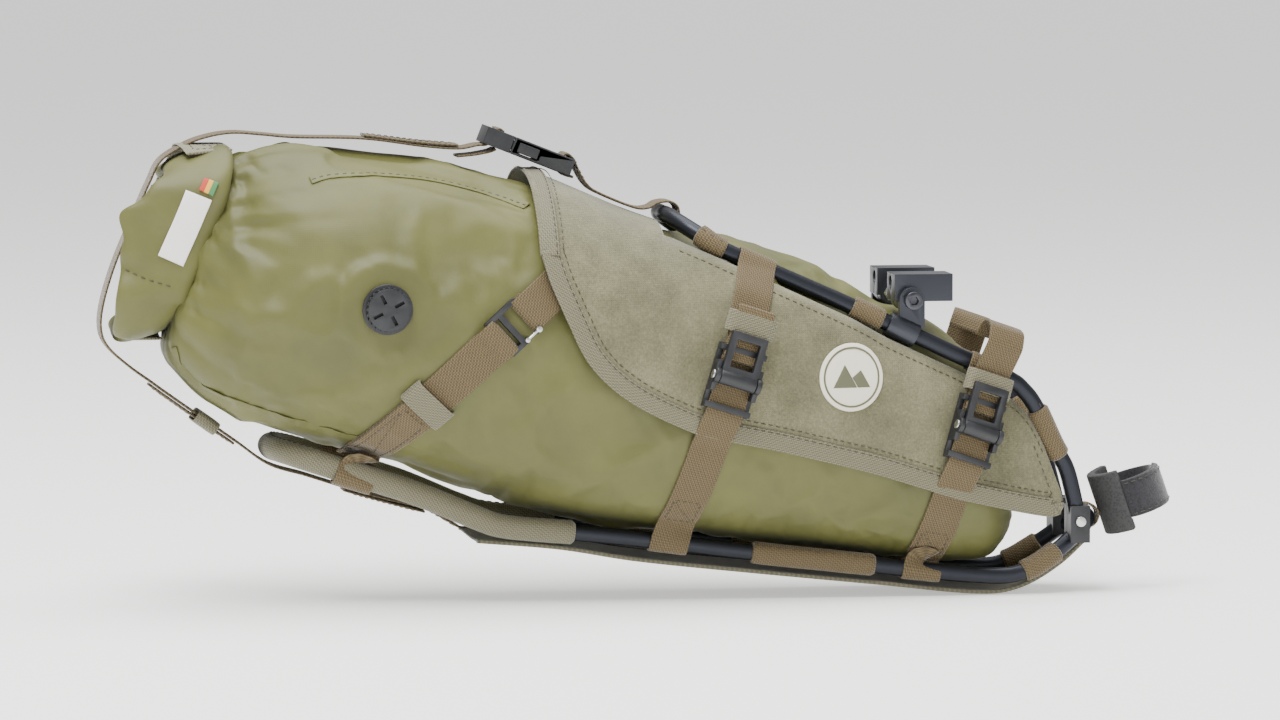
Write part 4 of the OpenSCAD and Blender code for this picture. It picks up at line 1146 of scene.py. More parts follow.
@dataclass
class Canvas:
    """The hood and its two side panels: one stretched sheet, bound along its lower edge."""

    shape: BagShape = SHAPE
    rows: int = 170
    side_columns: int = 26
    top_columns: int = 46
    thick: float = 1.3 * MM
    rear_binding: float = -314.4
    rear_binding_low: float = 128.5
    flat: tuple = (0.30, 0.36)
    area: float = 0.052

    def surface(self, x: np.ndarray, z: np.ndarray, seed: int = 21) -> np.ndarray:
        """Points of the right panel in millimetres, with a little slackness inside its edges."""
        low, high = self.shape.at(self.shape.low_edge, x), self.shape.at(self.shape.high_edge, x)
        inside = np.clip(np.minimum(z - low, high - z) / 14, 0, 1)
        where = np.stack([x, z], axis=-1)
        slack = waves(where, seed, 60) * 0.7 + waves(where * np.array([1.0, 0.5]), seed + 1, 23) * 0.22
        off = self.shape.at(self.shape.proud, x) + slack * inside
        return np.stack([x, -self.shape.skin(x, z, off), z], axis=-1)

    def build(self) -> bpy.types.Object:
        """The sheet with its binding tapes and seams."""
        edge = spline(self.shape.low_edge, self.rows)
        x = edge[:, :1]
        high = self.shape.at(self.shape.high_edge, x)
        k = np.linspace(0, 1, self.side_columns)[None]
        z = edge[:, 1:] + (high - edge[:, 1:]) * k
        x = np.broadcast_to(x, z.shape)
        right = self.surface(x, z)
        left = right * np.array([1, -1, 1])
        half = -right[:, -1, 1]
        share = np.linspace(-1, 1, self.top_columns + 2)[None, 1:-1]
        y = half[:, None] * np.sin(share * np.pi / 2)
        tx = np.broadcast_to(x[:, :1], y.shape)
        slack = waves(np.stack([tx, y], axis=-1), 25, 55) * 0.6 * (1 - np.abs(share))
        top = np.stack([tx, y, self.shape.crown(tx, y, self.shape.at(self.shape.proud, tx) + slack)], axis=-1)
        grid = np.concatenate([right, top, left[:, ::-1]], axis=1)
        faces = grid_faces(self.rows, grid.shape[1])
        column = faces[:, 0] % grid.shape[1]
        row = faces[:, 0] // grid.shape[1]
        hood = grid[row + 1, column, 0] < HOOD_END
        side = (column < self.side_columns - 1) | (column >= self.side_columns + self.top_columns)
        faces = faces[hood | side]
        used, faces = np.unique(faces, return_inverse=True)
        points = grid.reshape(-1, 3)[used] * MM
        piece = make_piece("canvas_hood", points, faces.reshape(-1, 4))
        work = bmesh.new()
        work.from_mesh(piece.data)
        bmesh.ops.recalc_face_normals(work, faces=work.faces)
        middle = min(work.faces, key=lambda f: (f.calc_center_median() - Vector((-0.2, -0.07, 0.08))).length)
        if middle.normal.y > 0:
            bmesh.ops.reverse_faces(work, faces=work.faces)
        work.to_mesh(piece.data)
        work.free()
        solid = piece.modifiers.new("cloth", "SOLIDIFY")
        solid.thickness = self.thick
        solid.offset = 1.0
        dress(piece, WaxedCanvas(), ROOT, ["hood_top", "side_panel_right", "side_panel_left"])
        DRAPE.add(piece, self.thick)
        behind = grid[int(np.argmin(np.abs(edge[:, 0] - self.rear_binding)))]
        trims = self.trims(resample(behind[behind[:, 2] > self.rear_binding_low] * MM, 160))
        return piece

    def trims(self, arch: np.ndarray) -> list[bpy.types.Object]:
        """Ribbed binding over the lower and rear edge, and the rows of stitching.

        Args:
            arch: the sheet's line below the rear binding, from the right side over the top.
        """
        low = self.shape.low_edge
        made, rows = [], []
        forward = np.array([1.0, 0.0, 0.0])
        out = unit(np.cross(forward, tangents(arch)))
        tape = ribbon("binding_tape_rear", arch + out * (self.thick + 0.5 * MM), out, 10 * MM, 1.0 * MM)
        made.append(dress(tape, RibbedTape(), ROOT))
        for ahead, stands in ((3.7, 1.05), (7.2, 0.1)):
            rows.append((arch + forward * ahead * MM + out * (self.thick + stands * MM), out))
        inner = self.inset(low, 4.2)
        for side in Side:
            path, normal = DRAPE.lay(inner, 0.55 * MM, 200)
            path, normal = sided(path, side), sided(normal, side)
            tape = ribbon(f"binding_tape_{side.word}", path, normal, 10 * MM, 1.0 * MM)
            made.append(dress(tape, RibbedTape(), ROOT, ["edge_binding"]))
            for depth, stands in ((7.9, 1.1), (11.4, 0.1)):
                line, out = DRAPE.lay(self.inset(low, depth), stands * MM, 260)
                rows.append((sided(line, side), sided(out, side)))
            tube_edge = [(x, z - 5.0) for x, z in self.shape.high_edge if -247 < x < -50]
            front = [(x - 5.5, z) for x, z in self.shape.high_edge if x >= -60]
            for run in (tube_edge, front):
                line, out = DRAPE.lay(run, 0.1 * MM, 160)
                rows.append((sided(line, side), sided(out, side)))
        made.append(stitches("canvas_stitching", rows))
        return made

    @staticmethod
    def inset(line: Sequence, depth: float) -> np.ndarray:
        """A line of (x, z) moved to its upper side by depth."""
        p = spline(line, 60)
        t = tangents(p)
        moved = p + np.stack([-t[:, 1], t[:, 0]], axis=1) * depth
        return moved[moved[:, 0] > -318.5]


@dataclass
class BaseSheet:
    """The thin canvas stretched under the lower tube, its rear part rising to the sleeve."""

    line: tuple = ((-26, -22, 11), (-44, -36, 18), (-65, -46, 24), (-88, -48, 26), (-141, -42, 29),
                   (-204, -35, 32), (-263, -28, 34), (-304, -21, 36), (-346, -17, 36))
    thick: float = 1.2 * MM
    rows: int = 110
    columns: int = 30

    def build(self) -> bpy.types.Object:
        """The sheet with hemmed edges."""
        rows = spline(self.line, self.rows)
        share = np.linspace(-1, 1, self.columns)[None]
        x = np.broadcast_to(rows[:, :1], (self.rows, self.columns))
        y = rows[:, 2:] * share
        slack = waves(np.stack([x, y], axis=-1), 31, 70) * 0.5
        z = rows[:, 1:2] + 0.75 - 0.6 * (1 - share**2) + slack * (1 - share**4)
        points = np.stack([x, y, z], axis=-1) * MM
        piece = make_piece("base_cloth", points, grid_faces(self.rows, self.columns))
        solid = piece.modifiers.new("cloth", "SOLIDIFY")
        solid.thickness = self.thick
        solid.offset = 0.0
        rounded = piece.modifiers.new("hem", "BEVEL")
        rounded.width = 0.3 * MM
        rounded.limit_method = "ANGLE"
        dress(piece, WaxedCanvas("base_canvas", "canvas", "#69654F", "#595542", "#484535"), ROOT, ["base_sheet"])
        down = np.array([0.0, 0.0, -1.0])
        edge = np.stack([rows[:, 0], -rows[:, 2] * 0.94, rows[:, 1] + 0.75], axis=1) * MM
        for side in Side:
            band = ribbon(f"base_hem_{side.word}", sided(edge, side), down, 6 * MM, 2.1 * MM)
            dress(band, RibbedTape(), ROOT)
        return piece


@dataclass
class Tubes:
    """The two bent tubes with their webbing wraps and the ribbed sleeve at the rear."""

    wrap_t: float = 1.5 * MM
    sleeve_t: float = 1.9 * MM
    sleeve_front: float = -0.2965
    seam_out: tuple = (0.0, -0.72, 0.69)  # the way from the tube's middle to a wrap's seam

    def build(self) -> None:
        """Smooth tubes in place of the faceted ones, then what is sewn round them."""
        for name, line, closed in (("upper_tube", UPPER_LINE, False), ("lower_tube", LOWER_LINE, True)):
            side = np.array([0.0, 0.0, 1.0]) if closed else np.array([1.0, 0.0, 1.0])
            piece = skinned(f"smooth_{name}", carried(line, circle(TUBE_R, 28), side, closed), closed)
            dress(piece, AnodisedTube(), ROOT, [name])
        upper, lower = right_half(UPPER_HALF), right_half(LOWER_HALF)
        up, down = spline(upper, 600), spline(lower, 700)
        spans = ((up, -0.2325, -0.2195), (up, -0.1545, -0.138), (up, -0.0565, -0.0435), (down, -0.2055, -0.1405),
                 (down, -0.062, -0.0435))
        rows = []
        for side in Side:
            for k, (line, rear, front) in enumerate(spans):
                chosen = line[(line[:, 0] >= rear) & (line[:, 0] <= front)]
                cover = self.cover(f"tube_wrap_{k}_{side.word}", sided(chosen, side), Webbing(), 41 + k)
                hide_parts("tube_wraps")
                out = np.array(self.seam_out)
                rows.append((sided(chosen + out * (TUBE_R + self.wrap_t), side), sided(out, side)))
        loop = LOWER_LINE[LOWER_LINE[:, 0] < self.sleeve_front]
        start = int(np.argmax(np.linalg.norm(np.diff(np.vstack([loop, loop[:1]]), axis=0), axis=1))) + 1
        loop = np.roll(loop, -start, axis=0)
        loop = resample(loop, 240)
        sleeve = self.cover("rear_tube_sleeve", loop, RibbedTape(), 47, self.sleeve_t)
        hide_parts("tube_sleeve")
        rows.append((loop + np.array([0, 0, TUBE_R + self.sleeve_t]), np.array([0.0, 0.0, 1.0])))
        stitches("wrap_stitching", rows)

    def cover(self, name: str, line: np.ndarray, finish: Finish, seed: int,
              wall: float | None = None) -> bpy.types.Object:
        """A sewn cover round a stretch of tube: hollow, a little uneven, with turned-in ends."""
        wall = wall or self.wrap_t
        line = resample(line, max(24, int(arc_length(line)[-1] / (1.6 * MM))))
        n, run = len(line), arc_length(line)
        t = np.linspace(0, 1, n)
        end = np.minimum(1, np.minimum(t, 1 - t) * run[-1] / (1.0 * MM) + 0.35)
        ring = circle(1.0, 32)
        where = np.broadcast_arrays(t[:, None] * run[-1] / MM / 12, ring[None, :, 0], ring[None, :, 1])
        bulge = 1 + 0.05 * waves(np.stack(where, axis=-1), seed, 2.2)
        outer = ring[None] * (TUBE_R + wall * end[:, None] * bulge)[..., None]
        inner = np.broadcast_to(ring[None] * (TUBE_R + 0.12 * MM), outer.shape)
        side = np.array([0.3, 0.0, 1.0])
        rings = np.vstack([carried(line, outer, side), carried(line, inner, side)[::-1]])
        m = len(ring)
        along = np.concatenate([run, run[::-1]])
        around = np.arange(m) / m * 2 * np.pi * (TUBE_R + wall)
        uv = np.stack(np.meshgrid(along, around, indexing="ij"), axis=-1)[..., ::-1]
        piece = face_outwards(make_piece(name, rings.reshape(-1, 3), grid_faces(2 * n, m, True, True), uv))
        return dress(piece, finish, ROOT)


# ---------------------------------------------------------------- straps, roll and small parts


@dataclass(frozen=True)
class Local:
    """A right-handed frame on the right side: origin in millimetres, first axis and outward axis."""

    origin: tuple
    along: tuple
    out: tuple

    def point(self, x: float, z: float) -> np.ndarray:
        """A place on the frame's middle plane, x along and z out, in metres on the bicycle."""
        return (np.array(self.origin) + np.array(self.along) * x + np.array(self.out) * z) * MM

    def run(self, spots: Sequence[tuple]) -> np.ndarray:
        """Several such places from pairs of x and z."""
        return np.array([self.point(x, z) for x, z in spots])


def on_skin(ends: Sequence, share: float, off: float) -> np.ndarray:
    """The right side's place on the bag's form grown by off, share of the way between two ends."""
    start, end = np.array(ends, float)
    x, z = start + (end - start) * share
    return np.array([x, -SHAPE.skin(x, z, off), z])


def cam_frame(ends: Sequence, share: float) -> Local:
    """A cam buckle's frame, up its strap and out of the canvas, share of the way down the strap."""
    reach, ahead, off = 0.09, 8, 5  # the lengths over which the form's slope is taken
    plate = 2.3  # the canvas and the gap behind the buckle's plate
    middle = on_skin(ends, share, off)
    x, z = middle[[0, 2]]
    along = unit(on_skin(ends, share - reach, off) - on_skin(ends, share + reach, off))
    forward = np.array([x + ahead, -SHAPE.skin(x + ahead, z, off), z]) - middle
    out = unit(np.cross(forward, along))
    origin = on_skin(ends, share, 0) + out * (SHAPE.at(SHAPE.proud, x) + plate)
    return Local(tuple(origin), tuple(along), tuple(out))


def hook_frame(ends: Sequence, at: float) -> Local:
    """The hook buckle's frame where its strap crosses x = at, up the strap and out of the bag."""
    reach, stands = 0.06, 3
    share = (at - ends[0][0]) / (ends[1][0] - ends[0][0])
    along = unit(on_skin(ends, share + reach, 2) - on_skin(ends, share - reach, 2))
    x, y, z = on_skin(ends, share, 0)
    out = unit(np.array([-y - SHAPE.skin(x + 1, z, 0), -1.0, -y - SHAPE.skin(x, z + 1, 0)]))
    return Local(tuple(on_skin(ends, share, stands)), tuple(along), tuple(out))


REAR_CAM = cam_frame(REAR_STRAP, 0.40)
FRONT_CAM = cam_frame(FRONT_STRAP, 0.31)
HOOK = hook_frame(DIAGONAL, -333)
WEB_LEVEL = 2.95  # the webbing's middle above a cam buckle's back


def tube_wrap(table: Sequence, row: int, x: float, radius: float, angles: Sequence) -> tuple[np.ndarray, np.ndarray]:
    """An arc round the right tube at x, from above (90) over the outside (180) to below (270).

    Args:
        table: the tube's rows.
        row: the first of the two rows that x lies between.
        x: the place along the bicycle, in millimetres.
        radius: the arc's radius in metres.
        angles: degrees round the tube.

    Returns:
        The arc's points and its outward directions.
    """
    line = right_half(table)
    a, b = line[row], line[row + 1]
    centre = a + (b - a) * (x * MM - a[0]) / (b[0] - a[0])
    d = unit(a - b)
    up = unit(np.array([-d[2], 0, d[0]]))
    turn = np.radians(np.asarray(angles, float))[:, None]
    out = np.cos(turn) * np.array([0.0, 1.0, 0.0]) + np.sin(turn) * up
    return centre + radius * out, out


def taut(parts: Sequence[tuple[np.ndarray, np.ndarray]], passes: int = 14,
         step: float = 0.9 * MM) -> tuple[np.ndarray, np.ndarray]:
    """One smooth strap path through several stretches of (points, normals)."""
    path = np.vstack([np.atleast_2d(p) for p, _ in parts])
    normal = np.vstack([np.broadcast_to(n, np.atleast_2d(p).shape) for p, n in parts])
    keep = np.r_[True, np.linalg.norm(np.diff(path, axis=0), axis=1) > 0.05 * MM]
    both = resample(np.hstack([path[keep], normal[keep] * MM]), max(12, int(arc_length(path)[-1] / step)))
    for _ in range(passes):
        both[1:-1] = (both[:-2] + 2 * both[1:-1] + both[2:]) / 4
    return both[:, :3], unit(both[:, 3:])


STRAP_STITCH = (1.9 * MM, 1.1 * MM, 0.5 * MM)  # a stitch's length, the space to the next and its thickness


def sewn(path: np.ndarray, normal: np.ndarray, start: float, end: float, stands: float = WEB_T / 2,
         half: float = 7.2 * MM) -> list[tuple]:
    """A box of stitches with one diagonal across it, on a strap between two distances along its path."""
    run = arc_length(path)
    t = tangents(path)
    out = squared(normal, t)
    across = np.cross(out, t)

    def spot(s: float, y: float) -> tuple[np.ndarray, np.ndarray]:
        """The strap's face at distance s and y across, and its outward direction."""
        p, a, o = (sampled(s, run, v) for v in (path, across, out))
        return p + a * y + o * stands, o

    rows = []
    corners = [(start, -half), (start, half), (end, half), (end, -half), (start, -half), (end, half)]
    for (s0, y0), (s1, y1) in zip(corners[:-1], corners[1:]):
        line = [spot(s0 + (s1 - s0) * k, y0 + (y1 - y0) * k) for k in np.linspace(0.04, 0.96, 12)]
        rows.append((*(np.array(part) for part in zip(*line)), *STRAP_STITCH))
    return rows


def both_sides(name: str, path: np.ndarray, normal: np.ndarray, replaces: str = "") -> None:
    """The same webbing on the right and the left side; replaces may name a node less its side."""
    for side in Side:
        piece = ribbon(f"{name}_{side.word}", sided(path, side), sided(normal, side), WEB_W, WEB_T)
        dress(piece, Webbing(), ROOT, [f"{replaces}_{side.word}"] if replaces else [])


def keeper(name: str, centre: np.ndarray, along: np.ndarray, out: np.ndarray, high: float,
           deep: float) -> bpy.types.Object:
    """An elastic loop that holds a strap's tail: a rounded flat ring of ribbed tape."""
    a = np.linspace(0, 2 * np.pi, 96, endpoint=False)
    across = np.cross(out, along)
    loop = (centre + KEEPER_W / 2 * power(np.cos(a), 0.3)[:, None] * across
            + deep / 2 * power(np.sin(a), 0.75)[:, None] * out)
    return dress(flat_loop(name, loop, along, high, 1.1 * MM), RibbedTape(), ROOT)


@dataclass
class Straps:
    """Every webbing strap with its tail, keeper and stitching, on both sides."""

    seams: list = field(default_factory=list)
    keepers: list = field(default_factory=list)

    def seam(self, rows: Sequence[tuple]) -> None:
        """Notes stitch rows on the right side and their mirror on the left."""
        for row in rows:
            self.seams.append(row)
            self.seams.append((mirrored(row[0]), mirrored(row[1]), *row[2:]))

    def keep(self, name: str, centre: np.ndarray, along: np.ndarray, out: np.ndarray, high: float,
             deep: float) -> None:
        """Makes a keeper on both sides."""
        for side in Side:
            places = (sided(v, side) for v in (centre, along, out))
            self.keepers.append(keeper(f"{name}_{side.word}", *places, high, deep))

    def cam_strap(self, name: str, local: Local, ends: tuple, rows: tuple, over: Sequence[float],
                  under: Sequence[float], tail: Sequence[tuple], kept_at: float) -> None:
        """A strap from the upper tube through a cam buckle to the lower tube, with its tail.

        Args:
            name: which strap, as in the node names.
            local: the buckle's frame.
            ends: the strap's upper and lower end in the side view.
            rows: the rows of the upper and the lower tube that the strap is wrapped at.
            over: shares of the way down at which it lies on the canvas above the buckle.
            under: the same below the buckle.
            tail: the loose end's run above the buckle as local x and height.
            kept_at: the keeper's local x.
        """
        (tx, tz), (bx, bz) = ends
        out = np.array(local.out)

        def lain(s: float) -> tuple[np.ndarray, np.ndarray]:
            """The webbing's place on the cloth, s of the way down."""
            return DRAPE.at((tx + (bx - tx) * s) * MM, (tz + (bz - tz) * s) * MM, WEB_LIFT * MM)

        through = local.run([(x, WEB_LEVEL) for x in (19, 17, 8, 0, -8, -17, -19)])
        path, normal = taut([tube_wrap(UPPER_HALF, rows[0], tx, WRAP_R, range(-60, 186, 10)), *map(lain, over),
                             (through, out), *map(lain, under),
                             tube_wrap(LOWER_HALF, rows[1], bx, WRAP_R, range(172, 420, 10))])
        both_sides(f"{name}_webbing", path, normal, name)
        length = arc_length(path)[-1]
        LOG.info("%s: %.0f mm of webbing", name, length / MM)
        self.seam(sewn(path, normal, length - 50 * MM, length - 34 * MM))
        loose = local.run([(x, WEB_LEVEL + h) for x, h in tail])
        both_sides(f"{name}_tail", *taut([(loose, out)], 6))
        spot = local.point(kept_at, WEB_LEVEL + 1.3)
        self.keep(f"{name}_keeper", spot, np.array(local.along), out, 11 * MM, 6.6 * MM)

    def build(self) -> None:
        """All the straps."""
        folded = ((9, 3.2), (14, 2.1), (22, 1.7), (33, 1.9), (37, 2.4), (38.5, 3.4), (37, 4.3), (33, 4.4), (24, 3.4),
                  (20, 3.2))
        arching = ((9, 3.2), (14, 2.1), (22, 1.7), (32, 2.2), (38, 5.5), (46, 9.0), (54, 6.5), (57, 0.0), (55, -5.0),
                   (49, -8.5))
        self.cam_strap("rear_strap", REAR_CAM, REAR_STRAP, (10, 9), (0.1, 0.18), np.arange(0.60, 0.93, 0.04),
                       folded, 29)
        self.cam_strap("front_strap", FRONT_CAM, FRONT_STRAP, (7, 7), (0.1,), np.arange(0.58, 0.93, 0.05),
                       arching, 25)
        self.diagonal()
        self.centre()
        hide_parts("strap_keepers")
        stitches("strap_stitching", self.seams)

    def diagonal(self) -> None:
        """The diagonal straps that end in the hook buckles, and the loops that hold the hooks."""
        low, high = np.array(DIAGONAL, float)
        out, along = np.array(HOOK.out), np.array(HOOK.along)

        def lain(s: float, off: float = WEB_LIFT) -> tuple[np.ndarray, np.ndarray]:
            """The webbing's place on the cloth, s of the way up and off above it."""
            x, z = (low + (high - low) * s) * MM
            return DRAPE.at(x, z, off * MM)

        hook = HOOK.run(((-16, 2.0), (-12, 3.0), (-8.5, 2.9), (-6.4, 1.4), (-6.2, -1.2), (-8, -2.8), (-13, -3.0),
                         (-22, -2.4)))
        turn = unit(np.array([out, out, out, along, along, -out, -out, -out]))
        path, normal = taut([tube_wrap(LOWER_HALF, 15, -409, WRAP_R + 2.4 * MM, range(420, 196, -10)),
                             *[lain(s) for s in np.arange(0.08, 0.69, 0.04)], (hook, turn)], 9)
        both_sides("diagonal_webbing", path, normal, "diagonal_strap")
        end, end_normal = taut([lain(s, 2.6) for s in (0.06, 0.14, 0.22, 0.3)] + [lain(0.33, 2.4)], 3)
        both_sides("diagonal_tail", end, end_normal)
        self.seam(sewn(end, end_normal, 3 * MM, arc_length(end)[-1] - 3 * MM))
        spot, face = lain(0.375, 1.2)
        self.keep("diagonal_keeper", spot, unit(lain(0.42)[0] - lain(0.32)[0]), face, 13 * MM, 6.4 * MM)
        below = Drape()
        below.layers = DRAPE.layers[:1]  # the bag alone, as the loop's end lies under the hood's edge
        spots = ((-301, 125, WEB_LIFT), (-306, 120, 1.3), (-311, 115, 2.4))
        top = [below.at(x * MM, z * MM, off * MM) for x, z, off in spots]
        bar = HOOK.run(((14.5, 2.2), (11, 3.0), (8, 2.9), (5.6, 1.4), (5.4, -1.2), (8, -2.8), (13, -2.9)))
        turn = unit(np.array([out, out, out, -along, -along, -out, -out]))
        both_sides("hook_loop", *taut([*top, (bar, turn)], 5))

    def centre(self) -> None:
        """The compression strap over the roll, its anchor, and the roll's own webbing."""
        run = ((-351, -12), (-369, -2), (-391, 4), (-410, 9.5), (-430, 16), (-449, 22), (-466, 34), (-497, 56),
               (-508, 64), (-519, 72), (-530, 82), (-534, 91), (-533, 104), (-527, 124), (-517, 148), (-509, 166),
               (-503, 177), (-490, 185), (-478, 189), (-466, 190.5), (-452, 189.5), (-435, 188), (-400, 187),
               (-370, 183), (-352, 181.6), (-342, 183.2), (-337, 183.6), (-334.6, 187.2), (-332.2, 191.2),
               (-330, 191.0), (-328.6, 189.6), (-330.2, 185.2), (-333, 180.8), (-342, 178.6), (-352, 177.6))
        inside = (-420.0, 95.0)
        path, normal = self.upright(run, inside, 420)
        dress(ribbon("compression_webbing", path, normal, WEB_W, WEB_T), Webbing(), ROOT, ["compression_strap"])
        rows = sewn(path, normal, 3 * MM, 16 * MM)
        for name, chosen, raised in (("compression_fold", run[6:9], 1.7), ("compression_tail", run[1:4], 1.6),
                                     ("compression_top_tail", run[22:25], 1.6)):
            layer, out = self.upright(chosen, inside, 50)
            layer = layer + out * raised * MM
            dress(ribbon(name, layer, out, WEB_W, WEB_T), Webbing(), ROOT)
            rows += sewn(layer, out, 3 * MM, arc_length(layer)[-1] - 3 * MM)
        spot = path[np.argmin(np.linalg.norm(path - np.array([-0.481, 0, 0.0445]), axis=1))]
        out, along = np.array([-0.58, 0, -0.815]), unit(np.array([-0.815, 0, 0.58]))
        keeper("compression_keeper", spot + out * 0.8 * MM, along, out, 13 * MM, 6.2 * MM)
        anchor = ((-293, 166.5), (-297.5, 168.2), (-299.2, 173.6), (-296.6, 178.4), (-292.6, 175.6), (-290, 169.5),
                  (-286, 163), (-280, 158.5), (-262, 151), (-254, 150.5), (-249, 153), (-243, 153.5), (-239, 151),
                  (-238, 146))
        path, normal = self.upright(anchor, (-265.0, 100.0), 160)
        dress(ribbon("anchor_webbing", path, normal, WEB_W, WEB_T), Webbing(), ROOT, ["compression_anchor"])
        rows += sewn(path, normal, 22 * MM, 34 * MM)
        self.seams += rows
        clip, up = np.array([-499.0, 38.0, 135.0]), unit(np.array([0.33, 0.0, 0.944]))
        olive = RibbedTape("olive_webbing", "canvas", "#A19C84", "#858069", "#625E4A")
        top = np.array([(-480, -22, 181.5), (-482, -12, 184), (-483, 2, 184.6), (-483, 16, 183.6), (-483, 26, 180.2),
                        (-484, 34, 174), clip + up * 27, clip + up * 23]) * MM
        out = np.array([(0, -0.4, 0.9), (0, -0.1, 1), (0, 0, 1), (0, 0.2, 1), (0, 0.6, 0.8), (0, 0.9, 0.4), (0, 1, 0),
                        (0, 1, 0)], float)
        path, normal = taut([(top, unit(out))], 8)
        dress(ribbon("roll_top_webbing", path, normal, 24 * MM, WEB_T), olive, ROOT, ["roll_webbing"])
        self.seams += sewn(path, normal, 4 * MM, 16 * MM)
        low = np.array([clip - up * 24, clip - up * 27, (-509, 36, 104), (-512, 31, 97), (-513, 20, 90),
                        (-513, 6, 86.5), (-513, -8, 86.5)]) * MM
        out = np.array([(0, 1, 0), (0, 1, 0), (0, 0.9, -0.4), (0, 0.6, -0.8), (0, 0.2, -1), (0, 0, -1),
                        (0, 0, -1)], float)
        path, normal = taut([(low, unit(out))], 8)
        dress(ribbon("roll_low_webbing", path, normal, WEB_W, WEB_T), olive, ROOT)

    @staticmethod
    def upright(run: Sequence, middle: tuple, count: int) -> tuple[np.ndarray, np.ndarray]:
        """A path in the middle plane through (x, z) in millimetres, with normals away from middle."""
        flat = spline(run, count)
        path = np.stack([flat[:, 0], np.zeros(count), flat[:, 1]], axis=1) * MM
        normal = np.cross(tangents(path), np.array([0.0, 1.0, 0.0]))
        away = path - np.array([middle[0], 0, middle[1]]) * MM
        return path, normal * np.sign(np.sum(normal * away, axis=1, keepdims=True))


@dataclass
class RollTop:
    """The rolled mouth: layers of fabric wound flat, bent round so that its ends can be buckled."""

    turns: float = 2.8
    pitch: float = 1.5
    half_flat: float = 12.2
    cloth: float = 1.15

    def section(self) -> np.ndarray:
        """The wound band's outline in millimetres, across the roll and through it."""
        a = np.linspace(0, 2 * np.pi * self.turns, 900)
        r = 0.85 + self.pitch * a / (2 * np.pi)
        line = np.stack([self.half_flat * power(np.cos(a), 0.35) + r * np.cos(a), r * np.sin(a)], axis=1)
        line = resample(line, 190)
        t = unit(np.gradient(line, axis=0))
        side = np.stack([-t[:, 1], t[:, 0]], axis=1) * self.cloth / 2
        return np.vstack([line + side, (line - side)[::-1]])

    def build(self) -> None:
        """The roll, its edge seam and the plain label."""
        prof = self.section()
        line = spline(ROLL_LINE, 130)
        s = np.linspace(0, 1, len(line))
        flat_scale = 1 - 0.22 * smooth_step((s - 0.62) / 0.2)
        rings = []
        for k, along in enumerate(s * 200):
            p = prof.copy()
            rear = np.clip(-p[:, 0] / 17, 0, 1)
            corner = 0.62 * np.exp(-(((line[k, 2] - 139) / 13) ** 2)) + 0.1
            p[:, 0] = p[:, 0] * flat_scale[k] * (1 + corner * rear**2)
            p[:, 0] -= rear * 1.5 * waves(np.array([along]), 51, 26)[0]
            p[:, 1] *= 1 + 0.10 * waves(np.array([along]), 52, 34)[0]
            ripple = waves(np.stack([np.full(len(p), along), p[:, 0]], axis=1), 53, 30)
            p[:, 1] += 0.8 * ripple * (np.abs(p[:, 0]) / 17)
            rings.append(p)
        rings = np.array(rings) * MM
        piece = skinned("roll_closure_cloth", carried(line * MM, rings, ROLL_FLAT))
        dress(piece, CoatedFabric(), ROOT, ["roll_closure"])
        DRAPE.add(piece)
        rows = []
        for run in (((-525, 124), (-514, 119), (-501, 115)), ((-486, 160), (-492, 146), (-499, 128))):
            path, normal = DRAPE.lay(run, 0.1 * MM, 60)
            rows.append((path, normal))
        stitches("roll_stitching", rows)
        path, normal = DRAPE.lay(((-487.5, 161), (-494.5, 144.5), (-502, 128)), 0.5 * MM, 40, 8)
        label = ribbon("plain_label", path, normal, 14 * MM, 0.5 * MM)
        dress(label, Patch("woven_label", "patch", "#EDEBE3"), ROOT, ["patches"])
        path, normal = DRAPE.lay(((-481, 168), (-484, 162)), 0.9 * MM, 12, 2)
        for k, colour in enumerate(("#B8402E", "#D9A13A", "#3F7A4C")):
            band = path + np.cross(normal, tangents(path)) * (k - 1) * 2.6 * MM
            tab = ribbon(f"side_tab_{k}", band, normal, 2.6 * MM, 0.7 * MM)
            dress(tab, Patch(f"tab_{k}", "patch", colour), ROOT)


@dataclass
class Emblem:
    """A cream disc on the right panel with a plain mark of two hills in a ring."""

    centre: tuple = (-158.0, 66.0)
    radius: float = 17.0

    def shape(self, name: str, outline: np.ndarray, off: float, thick: float, finish: Finish) -> bpy.types.Object:
        """A flat outline in millimetres laid on the canvas as a thin plate with a soft edge."""
        rings = []
        x, z = self.centre
        middle = outline.mean(axis=0)
        for share, height in ((1.0, 0.0), (1.0, thick * 0.7), (0.975, thick), (0.6, thick), (0.3, thick)):
            p = middle + (outline - middle) * share
            rings.append([DRAPE.at((x + u) * MM, (z + v) * MM, (off + height) * MM)[0] for u, v in p])
        grid = np.array(rings)
        piece = face_outwards(make_piece(name, grid.reshape(-1, 3), tube_faces(*grid.shape[:2])))
        return dress(piece, finish, ROOT)

    def build(self) -> None:
        """The disc, the ring and the hills."""
        self.shape("cream_disc", circle(self.radius, 96), 0.0, 0.9, Patch())
        dark = Patch("printed_mark", "patch", "#5B5D45")
        ring = np.vstack([circle(14.6, 90), circle(14.6, 90)[:1]])
        path, normal = DRAPE.lay((ring + np.array(self.centre))[::3], 0.95 * MM, 120, 1)
        dress(ribbon("mark_ring", path, normal, 1.0 * MM, 0.25 * MM), dark, ROOT)
        hills = (((-10, -5), (-3.5, 6.5), (3, -5)), ((0.5, 0.0), (5.0, 3.6), (10, -5), (3.4, -5)))
        for k, corners in enumerate(hills):
            outline = resample(np.array([*corners, corners[0]], float), 60, True)
            self.shape(f"mark_hill_{k}", outline, 0.88, 0.22, dark)


